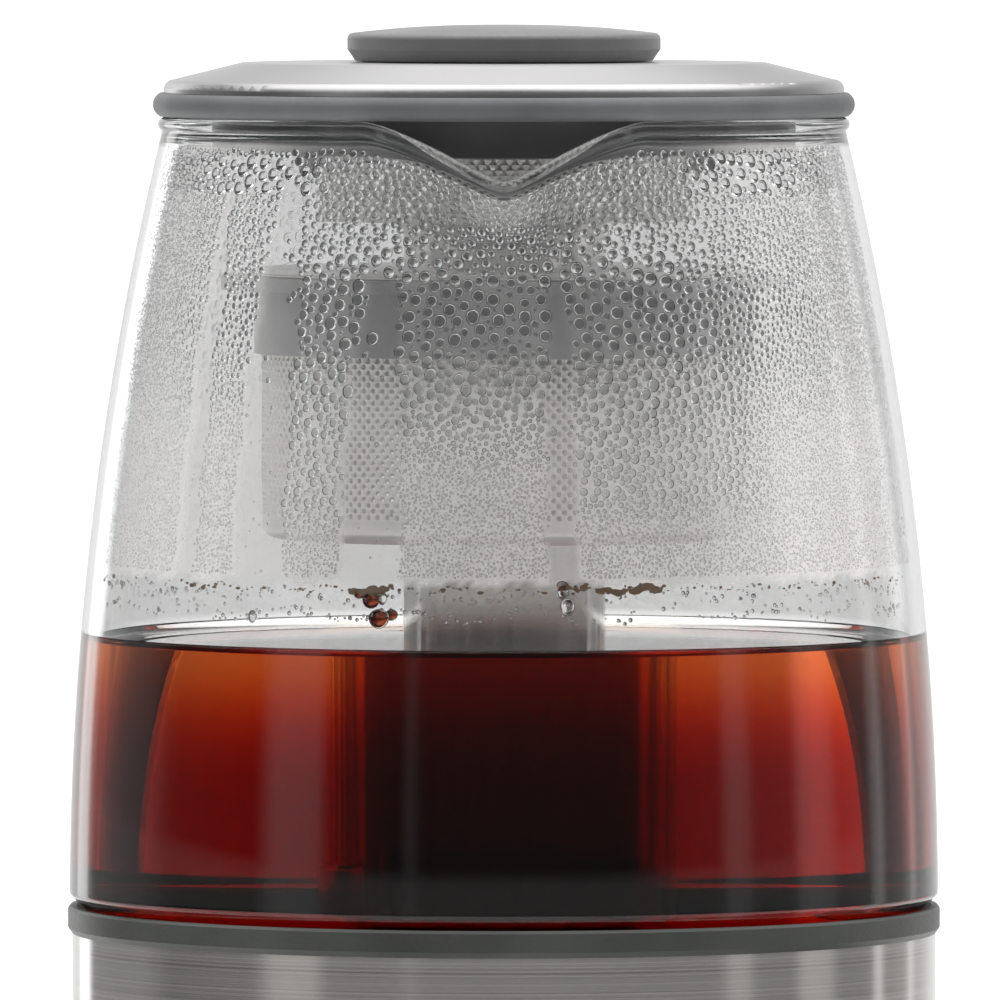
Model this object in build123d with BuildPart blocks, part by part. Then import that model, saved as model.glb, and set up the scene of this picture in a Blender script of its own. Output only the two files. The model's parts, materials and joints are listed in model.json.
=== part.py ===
from build123d import *
import math
import os

# Electric all-in-one tea brewer, in millimetres.
# Origin: on the table under the jug's axis. +Z up, spout towards -Y, handle +Y, control panel +X.

os.makedirs("parts", exist_ok=True)

# ---- driving dimensions -------------------------------------------------------------------
RING_TOP = 90.0            # height of the dark ring's top edge above the table
RING_R = 77.5              # outer radius of the dark ring
SHELL_R = 76.7             # outer radius of the steel skirt
SHELL_WALL = 0.7
JUG_R = 77.2               # outer radius of the glass at the ring
JUG_WALL = 3.0
JUG_HEIGHT = 140.0         # rim top above the ring
TAPER = 0.000872           # the glass narrows by this times the height squared
BEAD_R = 1.3
SPOUT_DROP = 10.5          # how far the lip dips below the rim
SPOUT_HALF = 22.0          # half width of the dip
SPOUT_REACH = 7.5          # how far the lip leans out
FLOOR_TOP = 84.0           # upper face of the jug's steel floor
KNOB_R = 27.8
GASKET_R = 62.3
PLUG_R = 51.8
CAP_R = 60.4
BASKET_R = 42.8
BASKET_Y = -6.0            # the infuser hangs a little in front of the jug's axis
BASKET_WALL = 0.5
FLANGE_R = 50.0
POST_Y = 48.0              # middle of the guide post
POST_WIDE = 37.0
POST_DEEP = 13.0
SCREW_R = 3.0
RUNNING = 0.05             # radial clearance of a turning fit
GEAR_MODULE = 1.0
GEAR_TEETH = 24
PINION_TEETH = 12
DECK_TOP = 30.0            # upper face of the power base
BASE_R = 86.0
PANEL_END = 142.0          # reach of the control panel along +X
PANEL_HALF = 46.0
PANEL_CORNER = 16.0
PANEL_SLOPE = 15.0         # degrees
BASE_WALL = 2.5
BUTTON_STROKE = 0.8

PINION_X = GEAR_MODULE * (GEAR_TEETH + PINION_TEETH) / 2


def up(height):
    """Horizontal plane this high above the ring's top edge."""
    return Plane.XY.offset(RING_TOP + height)


def jug_radius(height, inset=0.0):
    """Outer radius of the glass at a height above the ring, less an inset."""
    return JUG_R - TAPER * height * height - inset


def write(part, name):
    part.label = name
    export_step(part, f"parts/{name}.step")


# ---- glass jug ----------------------------------------------------------------------------
FOOT_R = 74.6              # the foot is necked in to sit inside the ring
FOOT_BOTTOM = 74.0
rim_r = jug_radius(JUG_HEIGHT)
curve_heights = [2.5, 35.0, 70.0, 105.0, JUG_HEIGHT - 1.5]
outer_curve = [(jug_radius(h), RING_TOP + h) for h in curve_heights]
inner_curve = [(jug_radius(h, JUG_WALL), RING_TOP + h) for h in reversed(curve_heights)]

with BuildPart() as jug_body:
    with BuildSketch(Plane.XZ):
        with BuildLine():
            Line((FOOT_R, FOOT_BOTTOM), (FOOT_R, RING_TOP - 0.6))
            Line((FOOT_R, RING_TOP - 0.6), (FOOT_R + 1.6, RING_TOP + 0.3))
            ThreePointArc((FOOT_R + 1.6, RING_TOP + 0.3), (JUG_R - 0.35, RING_TOP + 0.9), outer_curve[0])
            Spline(*outer_curve)
            Line(outer_curve[-1], (rim_r, RING_TOP + JUG_HEIGHT))
            Line((rim_r, RING_TOP + JUG_HEIGHT), (rim_r - JUG_WALL, RING_TOP + JUG_HEIGHT))
            Line((rim_r - JUG_WALL, RING_TOP + JUG_HEIGHT), inner_curve[0])
            Spline(*inner_curve)
            Line(inner_curve[-1], (FOOT_R - JUG_WALL, RING_TOP - 1.5))
            Line((FOOT_R - JUG_WALL, RING_TOP - 1.5), (FOOT_R - JUG_WALL, FOOT_BOTTOM))
            Line((FOOT_R - JUG_WALL, FOOT_BOTTOM), (FOOT_R, FOOT_BOTTOM))
        make_face()
    revolve(axis=Axis.Z)

with BuildPart() as rim_bead:
    with BuildSketch(Plane.XZ):
        with Locations((rim_r - 1.0, RING_TOP + JUG_HEIGHT - BEAD_R)):
            SlotOverall(JUG_WALL + 1.6, 2 * BEAD_R)
    revolve(axis=Axis.Z)


def spout_wedge(inset):
    """Solid gutter that leans out of the wall: a pointed section that grows towards the lip."""
    low = 24.0 - inset
    sections = []
    for step in (0.0, 0.35, 0.7, 1.0):
        height = JUG_HEIGHT - low * (1 - step)
        wall = jug_radius(height, inset)
        half = 4.0 + (SPOUT_HALF + 2.0 - inset * 0.9) * step
        reach = wall + 0.2 + (SPOUT_REACH + BEAD_R) * step ** 1.6
        side = math.sqrt(wall * wall - half * half) - 1.0
        sections.append((height, half, reach, side))
    with BuildPart() as wedge:
        for height, half, reach, side in sections:
            with BuildSketch(up(height)):
                with BuildLine():
                    ThreePointArc((-half, -side), (0, -reach), (half, -side))
                    Line((half, -side), (half * 0.6, -side + 12))
                    Line((half * 0.6, -side + 12), (-half * 0.6, -side + 12))
                    Line((-half * 0.6, -side + 12), (-half, -side))
                make_face()
        loft()
    return wedge.part


spout_outer = spout_wedge(0.0)
spout_inner = spout_wedge(JUG_WALL)

with BuildPart() as notch_cutter:
    with BuildSketch(Plane.XZ.offset(40)):
        with BuildLine():
            Spline(
                (-SPOUT_HALF - 8, RING_TOP + JUG_HEIGHT + 0.05),
                (-SPOUT_HALF + 6, RING_TOP + JUG_HEIGHT - SPOUT_DROP * 0.45),
                (0, RING_TOP + JUG_HEIGHT - SPOUT_DROP),
                (SPOUT_HALF - 6, RING_TOP + JUG_HEIGHT - SPOUT_DROP * 0.45),
                (SPOUT_HALF + 8, RING_TOP + JUG_HEIGHT + 0.05),
                tangents=((1, 0), (1, 0)),
            )
            Line((SPOUT_HALF + 8, RING_TOP + JUG_HEIGHT + 0.05), (SPOUT_HALF + 8, RING_TOP + JUG_HEIGHT + 9))
            Line((SPOUT_HALF + 8, RING_TOP + JUG_HEIGHT + 9), (-SPOUT_HALF - 8, RING_TOP + JUG_HEIGHT + 9))
            Line((-SPOUT_HALF - 8, RING_TOP + JUG_HEIGHT + 9), (-SPOUT_HALF - 8, RING_TOP + JUG_HEIGHT + 0.05))
        make_face()
    extrude(amount=50)

with BuildPart() as glass_jug:
    add(jug_body.part)
    add(rim_bead.part)
    add(spout_outer)
    add(spout_inner, mode=Mode.SUBTRACT)
    with BuildSketch(up(JUG_HEIGHT - 45)):
        Circle(rim_r - JUG_WALL)
    extrude(amount=60, mode=Mode.SUBTRACT)
    add(notch_cutter.part, mode=Mode.SUBTRACT)
write(glass_jug.part, "glass_jug")

# ---- ring, seal and heated floor of the jug -------------------------------------------------
RING_BAND = 4.8
SKIRT_R = 76.0
SKIRT_BOTTOM = 70.0
with BuildPart() as base_ring:
    with BuildSketch(Plane.XZ):
        with BuildLine():
            Polyline(
                (FOOT_R + 0.1, RING_TOP - 1.0),
                (FOOT_R + 1.4, RING_TOP),
                (RING_R - 0.4, RING_TOP),
                (RING_R, RING_TOP - 0.5),
                (RING_R, RING_TOP - RING_BAND + 1.0),
                (RING_R - 0.7, RING_TOP - RING_BAND),
                (SKIRT_R, RING_TOP - RING_BAND),
                (SKIRT_R, SKIRT_BOTTOM),
                (66, SKIRT_BOTTOM),
                (66, SKIRT_BOTTOM + 2),
                (FOOT_R + 0.1, SKIRT_BOTTOM + 2),
                close=True,
            )
        make_face()
    revolve(axis=Axis.Z)
    with BuildSketch(Plane.XY.offset(SKIRT_BOTTOM - 33)):
        with PolarLocations(68.5, 4, start_angle=45):
            Circle(3.6)
    extrude(amount=33)
    with BuildSketch(Plane.XY.offset(SKIRT_BOTTOM - 33)):
        with PolarLocations(68.5, 4, start_angle=45):
            Circle(1.5)
    extrude(amount=12, mode=Mode.SUBTRACT)
write(base_ring.part, "base_ring")

SEAL_IN = FOOT_R - JUG_WALL - 1.5
with BuildPart() as foot_seal:
    with BuildSketch(Plane.XZ):
        with BuildLine():
            Polyline(
                (SEAL_IN, SKIRT_BOTTOM + 2),
                (FOOT_R + 0.05, SKIRT_BOTTOM + 2),
                (FOOT_R + 0.05, FOOT_BOTTOM),
                (FOOT_R - JUG_WALL, FOOT_BOTTOM),
                (FOOT_R - JUG_WALL, FLOOR_TOP - 1.5),
                (SEAL_IN, FLOOR_TOP - 2.5),
                close=True,
            )
        make_face()
    revolve(axis=Axis.Z)
write(foot_seal.part, "foot_seal")

GLAND_R = 5.0
PROBE = (-20.0, 18.0)
PROBE_R = 3.0
with BuildPart() as heater_plate:
    with BuildSketch(Plane.XZ):
        with BuildLine():
            Polyline(
                (0, FLOOR_TOP - 1),
                (SEAL_IN - 2, FLOOR_TOP - 1),
                (SEAL_IN - 1, FLOOR_TOP - 2),
                (SEAL_IN - 1, SKIRT_BOTTOM + 2),
                (SEAL_IN, SKIRT_BOTTOM + 2),
                (SEAL_IN, FLOOR_TOP - 1),
                (SEAL_IN - 1, FLOOR_TOP),
                (0, FLOOR_TOP),
                close=True,
            )
        make_face()
    revolve(axis=Axis.Z)
    with BuildSketch(Plane.XY.offset(FLOOR_TOP - 2)):
        with Locations((0, POST_Y)):
            Circle(GLAND_R)
        with Locations(PROBE):
            Circle(PROBE_R)
    extrude(amount=3, mode=Mode.SUBTRACT)
write(heater_plate.part, "heater_plate")

SPREADER_BOTTOM = FLOOR_TOP - 5
with BuildPart() as heat_spreader:
    with BuildSketch(Plane.XY.offset(SPREADER_BOTTOM)):
        Circle(60)
        with Locations((0, POST_Y)):
            Circle(GLAND_R + 4, mode=Mode.SUBTRACT)
        with Locations((0, POST_Y + 10)):
            Rectangle(2 * GLAND_R + 8, 20, mode=Mode.SUBTRACT)
        with Locations(PROBE):
            Circle(6, mode=Mode.SUBTRACT)
    extrude(amount=4)
write(heat_spreader.part, "heat_spreader")

ELEMENT_R = 40.0
ELEMENT_TUBE = 3.6
ELEMENT_GAP = 32.0         # degrees left open each side of +Y
with BuildPart() as heating_element:
    with BuildLine(Plane.XY.offset(SPREADER_BOTTOM - ELEMENT_TUBE)) as element_path:
        CenterArc((0, 0), ELEMENT_R, 90 + ELEMENT_GAP, 360 - 2 * ELEMENT_GAP)
    with BuildSketch(Plane(element_path.line @ 0, z_dir=element_path.line % 0)):
        Circle(ELEMENT_TUBE)
    sweep()
    for end in (0, 1):
        tip = element_path.line @ end
        with BuildSketch(Plane.XY.offset(SPREADER_BOTTOM - 22)):
            with Locations((tip.X, tip.Y)):
                Circle(1.6)
        extrude(amount=18)
write(heating_element.part, "heating_element")

with BuildPart() as thermostat:
    with BuildSketch(Plane.XY.offset(SPREADER_BOTTOM - 12)):
        with Locations((0, -14)):
            Circle(9)
    extrude(amount=12)
    with BuildSketch(Plane.XY.offset(SPREADER_BOTTOM - 18)):
        with Locations((-5, -14), (5, -14)):
            Rectangle(1, 5)
    extrude(amount=6)
write(thermostat.part, "thermostat")

with BuildPart() as temperature_probe:
    with BuildSketch(Plane.XY.offset(FLOOR_TOP - 13)):
        with Locations(PROBE):
            RegularPolygon(5.5, 6)
    extrude(amount=5)
    with BuildSketch(Plane.XY.offset(FLOOR_TOP - 13)):
        with Locations(PROBE):
            Circle(PROBE_R)
    extrude(amount=26)
    tip_edges = temperature_probe.edges().filter_by(GeomType.CIRCLE).sort_by(Axis.Z)[-1]
    fillet(tip_edges, 1.5)
write(temperature_probe.part, "temperature_probe")

with BuildPart() as probe_seal:
    with BuildSketch(Plane.XY.offset(FLOOR_TOP)):
        with Locations(PROBE):
            Circle(5.5)
            Circle(PROBE_R, mode=Mode.SUBTRACT)
    extrude(amount=1.6)
    fillet(probe_seal.edges().sort_by(Axis.Z)[-1], 0.6)
write(probe_seal.part, "probe_seal")

# ---- guide post and basket drive ------------------------------------------------------------
POST_TOP = 118.0
post_height = RING_TOP + POST_TOP - FLOOR_TOP


def post_outline(inset):
    """Rounded rectangle of the post's section."""
    RectangleRounded(POST_WIDE - 2 * inset, POST_DEEP - 2 * inset, 6.0 - inset)


with BuildPart() as guide_post:
    with BuildSketch(Plane.XY.offset(FLOOR_TOP)):
        with Locations((0, POST_Y)):
            post_outline(0.0)
    extrude(amount=post_height)
    with BuildSketch(Plane.XY.offset(FLOOR_TOP)):
        with Locations((0, POST_Y)):
            post_outline(0.8)
    extrude(amount=post_height, mode=Mode.SUBTRACT)
write(guide_post.part, "guide_post")

with BuildPart() as post_cap:
    with BuildSketch(up(POST_TOP)):
        with Locations((0, POST_Y)):
            post_outline(0.0)
    extrude(amount=3)
    fillet(post_cap.edges().group_by(Axis.Z)[-1], 1.4)
    with BuildSketch(up(POST_TOP)):
        with Locations((0, POST_Y)):
            post_outline(0.8)
            Circle(4.5, mode=Mode.SUBTRACT)
    extrude(amount=-2)
write(post_cap.part, "post_cap")

SCREW_BOTTOM = 57.0
with BuildPart() as lead_screw:
    with BuildSketch(Plane.XY.offset(SCREW_BOTTOM)):
        with Locations((0, POST_Y)):
            Circle(SCREW_R)
    extrude(amount=RING_TOP + POST_TOP - 0.5 - SCREW_BOTTOM)
write(lead_screw.part, "lead_screw")

with BuildPart() as screw_gland:
    with BuildSketch(Plane.XY.offset(FLOOR_TOP - 16)):
        with Locations((0, POST_Y)):
            Circle(GLAND_R)
            Circle(SCREW_R + RUNNING, mode=Mode.SUBTRACT)
    extrude(amount=16)
    with BuildSketch(Plane.XY.offset(FLOOR_TOP)):
        with Locations((0, POST_Y)):
            Circle(GLAND_R + 0.6)
            Circle(SCREW_R + RUNNING, mode=Mode.SUBTRACT)
    extrude(amount=2)
    with BuildSketch(Plane.XY.offset(FLOOR_TOP - 3.5)):
        with Locations((0, POST_Y)):
            Circle(GLAND_R + 2.5)
            Circle(SCREW_R + RUNNING, mode=Mode.SUBTRACT)
    extrude(amount=2.5)
write(screw_gland.part, "screw_gland")

with BuildPart() as top_bushing:
    with BuildSketch(up(POST_TOP - 5)):
        with Locations((0, POST_Y)):
            Circle(4.5)
            Circle(SCREW_R + RUNNING, mode=Mode.SUBTRACT)
    extrude(amount=4.9)
write(top_bushing.part, "top_bushing")

CARRIAGE_LOW = 94.0        # above the ring, when the basket is raised
CARRIAGE_TALL = 18.0
with BuildPart() as carriage_nut:
    with BuildSketch(up(CARRIAGE_LOW)):
        with Locations((0, POST_Y)):
            post_outline(0.8 + 0.25)
            Circle(SCREW_R + RUNNING, mode=Mode.SUBTRACT)
    extrude(amount=CARRIAGE_TALL)
    with BuildSketch(up(CARRIAGE_LOW + 3)):
        with Locations((-8.5, POST_Y - 3.8), (8.5, POST_Y - 3.8)):
            Rectangle(8, 3)
    extrude(amount=12, mode=Mode.SUBTRACT)
write(carriage_nut.part, "carriage_nut")

with BuildPart() as carriage_magnets:
    with BuildSketch(up(CARRIAGE_LOW + 3)):
        with Locations((-8.5, POST_Y - 3.8), (8.5, POST_Y - 3.8)):
            Rectangle(8, 3)
    extrude(amount=12)
write(carriage_magnets.part, "carriage_magnets")


def involute(base_r, radius):
    """Angle, in radians, that an involute from base_r has swept when it reaches radius."""
    spread = math.sqrt(max((radius / base_r) ** 2 - 1, 0))
    return spread - math.atan(spread)


def gear_points(teeth, turn):
    """Corner points of a 20 degree spur gear outline, turned by this many degrees."""
    pitch_r = GEAR_MODULE * teeth / 2
    base_r = pitch_r * math.cos(math.radians(20))
    root_r = pitch_r - 1.25 * GEAR_MODULE
    tip_r = pitch_r + 0.9 * GEAR_MODULE
    start_r = max(base_r, root_r + 0.1)
    backlash = 0.12 / pitch_r
    half_at_pitch = math.pi / (2 * teeth) - backlash
    flank = []
    for step in range(5):
        radius = start_r + (tip_r - start_r) * step / 4
        half = half_at_pitch + involute(base_r, pitch_r) - involute(base_r, radius)
        flank.append((radius, half))
    points = []
    for tooth in range(teeth):
        middle = math.radians(turn) + 2 * math.pi * tooth / teeth
        rising = [(root_r, -flank[0][1] * 1.1)] + [(r, -half) for r, half in flank]
        falling = [(r, -half) for r, half in reversed(rising)]
        for radius, offset in rising + falling:
            points.append((radius * math.cos(middle + offset), radius * math.sin(middle + offset)))
    return points


GEAR_LOW = SCREW_BOTTOM + 1
GEAR_THICK = 6.0
with BuildPart() as screw_gear:
    with BuildSketch(Plane.XY.offset(GEAR_LOW)):
        with Locations((0, POST_Y)):
            Polygon(*gear_points(GEAR_TEETH, 0.0), align=None)
            Circle(SCREW_R, mode=Mode.SUBTRACT)
    extrude(amount=GEAR_THICK)
    with BuildSketch(Plane.XY.offset(GEAR_LOW + GEAR_THICK)):
        with Locations((0, POST_Y)):
            Circle(5.5)
            Circle(SCREW_R, mode=Mode.SUBTRACT)
    extrude(amount=3)
write(screw_gear.part, "screw_gear")

SHAFT_R = 1.5
MOTOR_TOP = GEAR_LOW - 3
with BuildPart() as motor_pinion:
    with BuildSketch(Plane.XY.offset(GEAR_LOW)):
        with Locations((PINION_X, POST_Y)):
            Polygon(*gear_points(PINION_TEETH, 180.0 / PINION_TEETH), align=None)
    extrude(amount=GEAR_THICK)
    with BuildSketch(Plane.XY.offset(MOTOR_TOP - 6)):
        with Locations((PINION_X, POST_Y)):
            Circle(SHAFT_R)
    extrude(amount=10)
write(motor_pinion.part, "motor_pinion")

with BuildPart() as lift_motor:
    with BuildSketch(Plane.XY.offset(MOTOR_TOP - 17)):
        with Locations((PINION_X, POST_Y)):
            Circle(10)
    extrude(amount=15)
    with BuildSketch(Plane.XY.offset(MOTOR_TOP - 2)):
        with Locations((PINION_X, POST_Y)):
            Circle(4)
    extrude(amount=1.9)
    with BuildSketch(Plane.XY.offset(MOTOR_TOP - 8)):
        with Locations((PINION_X, POST_Y)):
            Circle(SHAFT_R + RUNNING)
    extrude(amount=9, mode=Mode.SUBTRACT)
write(lift_motor.part, "lift_motor")

# ---- bottom of the kettle and its round connector -------------------------------------------
COVER_LOW = DECK_TOP + 3
COVER_TOP = COVER_LOW + 3
SLEEVE_R = 27.0
with BuildPart() as bottom_cover:
    with BuildSketch(Plane.XY.offset(COVER_LOW)):
        Circle(SHELL_R - 1.2)
    extrude(amount=COVER_TOP - COVER_LOW)
    with BuildSketch(Plane.XY.offset(DECK_TOP + 0.1)):
        Circle(71)
        Circle(67, mode=Mode.SUBTRACT)
        with PolarLocations(68.5, 4, start_angle=45):
            Circle(6, mode=Mode.SUBTRACT)
    extrude(amount=COVER_LOW - DECK_TOP)
    with BuildSketch(Plane.XY.offset(COVER_LOW)):
        Circle(SLEEVE_R)
        with PolarLocations(68.5, 4, start_angle=45):
            Circle(1.7)
    extrude(amount=5, mode=Mode.SUBTRACT)
    with BuildSketch(Plane.XY.offset(COVER_LOW)):
        with PolarLocations(68.5, 4, start_angle=45):
            Circle(3.2)
    extrude(amount=1.8, mode=Mode.SUBTRACT)
write(bottom_cover.part, "bottom_cover")

with BuildPart() as bottom_screws:
    with BuildSketch(Plane.XY.offset(COVER_LOW + 0.2)):
        with PolarLocations(68.5, 4, start_angle=45):
            Circle(3.0)
    extrude(amount=1.6)
    with BuildSketch(Plane.XY.offset(COVER_LOW + 1.8)):
        with PolarLocations(68.5, 4, start_angle=45):
            Circle(1.45)
    extrude(amount=9)
    with BuildSketch(Plane.XY.offset(COVER_LOW + 0.2)):
        with PolarLocations(68.5, 4, start_angle=45):
            Rectangle(3.6, 0.7)
            Rectangle(0.7, 3.6)
    extrude(amount=0.8, mode=Mode.SUBTRACT)
write(bottom_screws.part, "bottom_screws")

with BuildPart() as motor_bracket:
    with BuildSketch(Plane.XY.offset(COVER_TOP)):
        with Locations((PINION_X, POST_Y)):
            Circle(12.5)
            Circle(10.1, mode=Mode.SUBTRACT)
    extrude(amount=8)
    with BuildSketch(Plane.XY.offset(COVER_TOP)):
        with Locations((PINION_X, POST_Y)):
            Circle(10.1)
    extrude(amount=MOTOR_TOP - 17 - COVER_TOP)
write(motor_bracket.part, "motor_bracket")

with BuildPart() as steel_shell:
    with BuildSketch(Plane.XZ):
        with BuildLine():
            Polyline(
                (SHELL_R - SHELL_WALL, RING_TOP - RING_BAND),
                (SHELL_R, RING_TOP - RING_BAND),
                (SHELL_R, COVER_TOP + 2),
                (SHELL_R - 1, COVER_TOP),
                (SHELL_R - 5, COVER_TOP),
                (SHELL_R - 5, COVER_TOP + SHELL_WALL),
                (SHELL_R - 1.3, COVER_TOP + SHELL_WALL),
                (SHELL_R - SHELL_WALL, COVER_TOP + 2),
                close=True,
            )
        make_face()
    revolve(axis=Axis.Z)
    with BuildSketch(Plane.XY.offset(COVER_TOP - 1)):
        with PolarLocations(68.5, 4, start_angle=45):
            Circle(4.0)
    extrude(amount=5, mode=Mode.SUBTRACT)
    with BuildSketch(Plane.XZ.offset(-(SHELL_R + 2))):
        with Locations((0, 48), (0, 62)):
            Circle(2.1)
    extrude(amount=6, mode=Mode.SUBTRACT)
write(steel_shell.part, "steel_shell")

BLADE_IN = 13.5
BLADE_OUT = 15.4
CONNECTOR_LOW = DECK_TOP + 1.2
CONNECTOR_CEILING = DECK_TOP + 14.5
with BuildPart() as kettle_connector:
    with BuildSketch(Plane.XY.offset(CONNECTOR_LOW)):
        Circle(SLEEVE_R - RUNNING)
        Circle(22.5, mode=Mode.SUBTRACT)
    extrude(amount=CONNECTOR_CEILING - CONNECTOR_LOW)
    with BuildSketch(Plane.XY.offset(CONNECTOR_CEILING)):
        Circle(SLEEVE_R - RUNNING)
    extrude(amount=8)
    with BuildSketch(Plane.XY.offset(COVER_TOP + 0.05)):
        Circle(30)
        Circle(SLEEVE_R - 1, mode=Mode.SUBTRACT)
    extrude(amount=2)
    with BuildSketch(Plane.XY.offset(DECK_TOP + 3)):
        Circle(BLADE_OUT)
        Circle(BLADE_IN, mode=Mode.SUBTRACT)
    extrude(amount=CONNECTOR_CEILING - DECK_TOP - 3)
write(kettle_connector.part, "kettle_connector")

with BuildPart() as connector_contacts:
    with BuildSketch(Plane.XY.offset(DECK_TOP + 4)):
        Circle(BLADE_OUT + 0.5)
        Circle(BLADE_OUT, mode=Mode.SUBTRACT)
    extrude(amount=CONNECTOR_CEILING - DECK_TOP - 4)
    with BuildSketch(Plane.XY.offset(DECK_TOP + 4)):
        Circle(2.4)
    extrude(amount=CONNECTOR_CEILING - DECK_TOP - 4)
write(connector_contacts.part, "connector_contacts")

# ---- handle -------------------------------------------------------------------------------
HANDLE_WIDE = 26.0
HANDLE_THICK = 15.0
HANDLE_TOP_Z = RING_TOP + 124
BRACKET_R = SHELL_R + 2.0
with BuildPart() as handle_bracket:
    with BuildSketch(Plane.XY.offset(42)):
        Circle(BRACKET_R)
        Circle(SHELL_R, mode=Mode.SUBTRACT)
        with Locations((0, BRACKET_R)):
            Rectangle(HANDLE_WIDE + 6, 20, mode=Mode.INTERSECT)
    extrude(amount=34)
    with BuildSketch(Plane.XZ.offset(-(BRACKET_R + 2))):
        with Locations((0, 48), (0, 62)):
            Circle(2.1)
    extrude(amount=8, mode=Mode.SUBTRACT)
write(handle_bracket.part, "handle_bracket")

PAD_Y = jug_radius(124) + 2.0
with BuildPart() as handle_sweep:
    with BuildLine(Plane.YZ) as handle_path:
        Spline(
            (84.0, 58.0),
            (99.0, 100.0),
            (109.0, 150.0),
            (111.0, 185.0),
            (94.0, 209.0),
            (PAD_Y, HANDLE_TOP_Z),
            tangents=((1, 0.3), (-1, 0)),
        )
    with BuildSketch(Plane(handle_path.line @ 0, x_dir=(1, 0, 0), z_dir=handle_path.line % 0)):
        RectangleRounded(HANDLE_WIDE, HANDLE_THICK, 5.5)
    sweep()

with BuildPart() as handle_inlay:
    with BuildSketch(Plane(handle_path.line @ 0, x_dir=(1, 0, 0), z_dir=handle_path.line % 0)):
        with Locations((0, HANDLE_THICK / 2 - 0.5)):
            Rectangle(13, 1.6)
    sweep(path=handle_path.line)
write(handle_inlay.part, "handle_inlay")

with BuildPart() as jug_room:
    with BuildSketch(up(100)):
        Circle(jug_radius(100, -0.05))
    with BuildSketch(up(112)):
        Circle(jug_radius(112, -0.05))
    with BuildSketch(up(124)):
        Circle(jug_radius(124, -0.05))
    with BuildSketch(up(136)):
        Circle(jug_radius(136, -0.05))
    loft()

with BuildPart() as handle_body:
    add(handle_sweep.part)
    with BuildSketch(Plane.XZ.offset(-BRACKET_R + 3)):
        with Locations((0, 58)):
            RectangleRounded(HANDLE_WIDE, 30, 5)
    extrude(amount=-13)
    with BuildSketch(Plane.XY.offset(30)):
        Circle(BRACKET_R)
    extrude(amount=60, mode=Mode.SUBTRACT)
    with BuildSketch(up(100)):
        with Locations((0, PAD_Y - 20)):
            Rectangle(60, 40)
    extrude(amount=50, mode=Mode.SUBTRACT)
    add(handle_inlay.part, mode=Mode.SUBTRACT)
    with BuildSketch(Plane.XZ.offset(-BRACKET_R + 1)):
        with Locations((0, 48), (0, 62)):
            Circle(1.8)
    extrude(amount=-10, mode=Mode.SUBTRACT)
write(handle_body.part, "handle_body")

with BuildPart() as handle_screws:
    with BuildSketch(Plane.XZ.offset(-(SHELL_R - SHELL_WALL - 2.2))):
        with Locations((0, 48), (0, 62)):
            Circle(3.8)
    extrude(amount=-2)
    with BuildSketch(Plane.XZ.offset(-(SHELL_R - SHELL_WALL - 0.2))):
        with Locations((0, 48), (0, 62)):
            Circle(1.75)
    extrude(amount=-10)
write(handle_screws.part, "handle_screws")

with BuildPart() as handle_pad:
    with BuildSketch(Plane.XZ.offset(-(PAD_Y - 3))):
        with Locations((0, HANDLE_TOP_Z)):
            RectangleRounded(22, 10, 4)
    extrude(amount=-3)
    add(jug_room.part, mode=Mode.SUBTRACT)
write(handle_pad.part, "handle_pad")

# ---- lid ----------------------------------------------------------------------------------
CAP_SHEET = 0.8
with BuildPart() as lid_cap:
    with BuildSketch(Plane.XZ):
        with BuildLine():
            Line((0, RING_TOP + 149.9), (46.7, RING_TOP + 149.6))
            Line((46.7, RING_TOP + 149.6), (58.8, RING_TOP + 146.6))
            ThreePointArc(
                (58.8, RING_TOP + 146.6),
                (59.95, RING_TOP + 146.05),
                (CAP_R, RING_TOP + 145.1),
            )
            Line((CAP_R, RING_TOP + 145.1), (CAP_R, RING_TOP + 144.3))
            Line((CAP_R, RING_TOP + 144.3), (CAP_R - CAP_SHEET, RING_TOP + 144.3))
            Line((CAP_R - CAP_SHEET, RING_TOP + 144.3), (58.4, RING_TOP + 145.8))
            Line((58.4, RING_TOP + 145.8), (46.6, RING_TOP + 148.8))
            Line((46.6, RING_TOP + 148.8), (0, RING_TOP + 149.1))
            Line((0, RING_TOP + 149.1), (0, RING_TOP + 149.9))
        make_face()
    revolve(axis=Axis.Z)
    with BuildSketch(up(148)):
        Circle(2.1)
    extrude(amount=4, mode=Mode.SUBTRACT)
write(lid_cap.part, "lid_cap")

with BuildPart() as lid_gasket:
    with BuildSketch(Plane.XZ):
        with BuildLine():
            Line((PLUG_R, RING_TOP + 140.1), (GASKET_R - 1.2, RING_TOP + 140.1))
            ThreePointArc(
                (GASKET_R - 1.2, RING_TOP + 140.1),
                (GASKET_R, RING_TOP + 142.2),
                (GASKET_R - 1.2, RING_TOP + 144.25),
            )
            Line((GASKET_R - 1.2, RING_TOP + 144.25), (PLUG_R, RING_TOP + 144.25))
            Line((PLUG_R, RING_TOP + 144.25), (PLUG_R, RING_TOP + 140.1))
        make_face()
    revolve(axis=Axis.Z)
write(lid_gasket.part, "lid_gasket")

PLUG_LOW = 133.5
PLUG_WALL = 2.5
STRAINER_IN = 50.2
STRAINER_OUT = 50.7
STRAINER_LOW = 122.0
STRAINER_HALF = 40.0       # degrees each side of the spout
TAB_ANGLE = 41.5


def front_sector(half_angle, reach):
    """Triangle from the axis that covers this many degrees each side of -Y."""
    wide = reach * math.tan(math.radians(half_angle))
    Polygon((0, 0), (wide, -reach), (-wide, -reach), align=None)


def wall_holes(centre_y, radius, angle_rows, low, spacing):
    """Locations of staggered holes through an upright round wall, pointing outwards."""
    places = []
    for row, angles in enumerate(angle_rows):
        for angle in angles:
            toward = Vector(math.cos(math.radians(angle)), math.sin(math.radians(angle)), 0)
            middle = Vector(0, centre_y, RING_TOP + low + row * spacing) + toward * radius
            places.append(Plane(middle, z_dir=toward).location)
    return places


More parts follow.
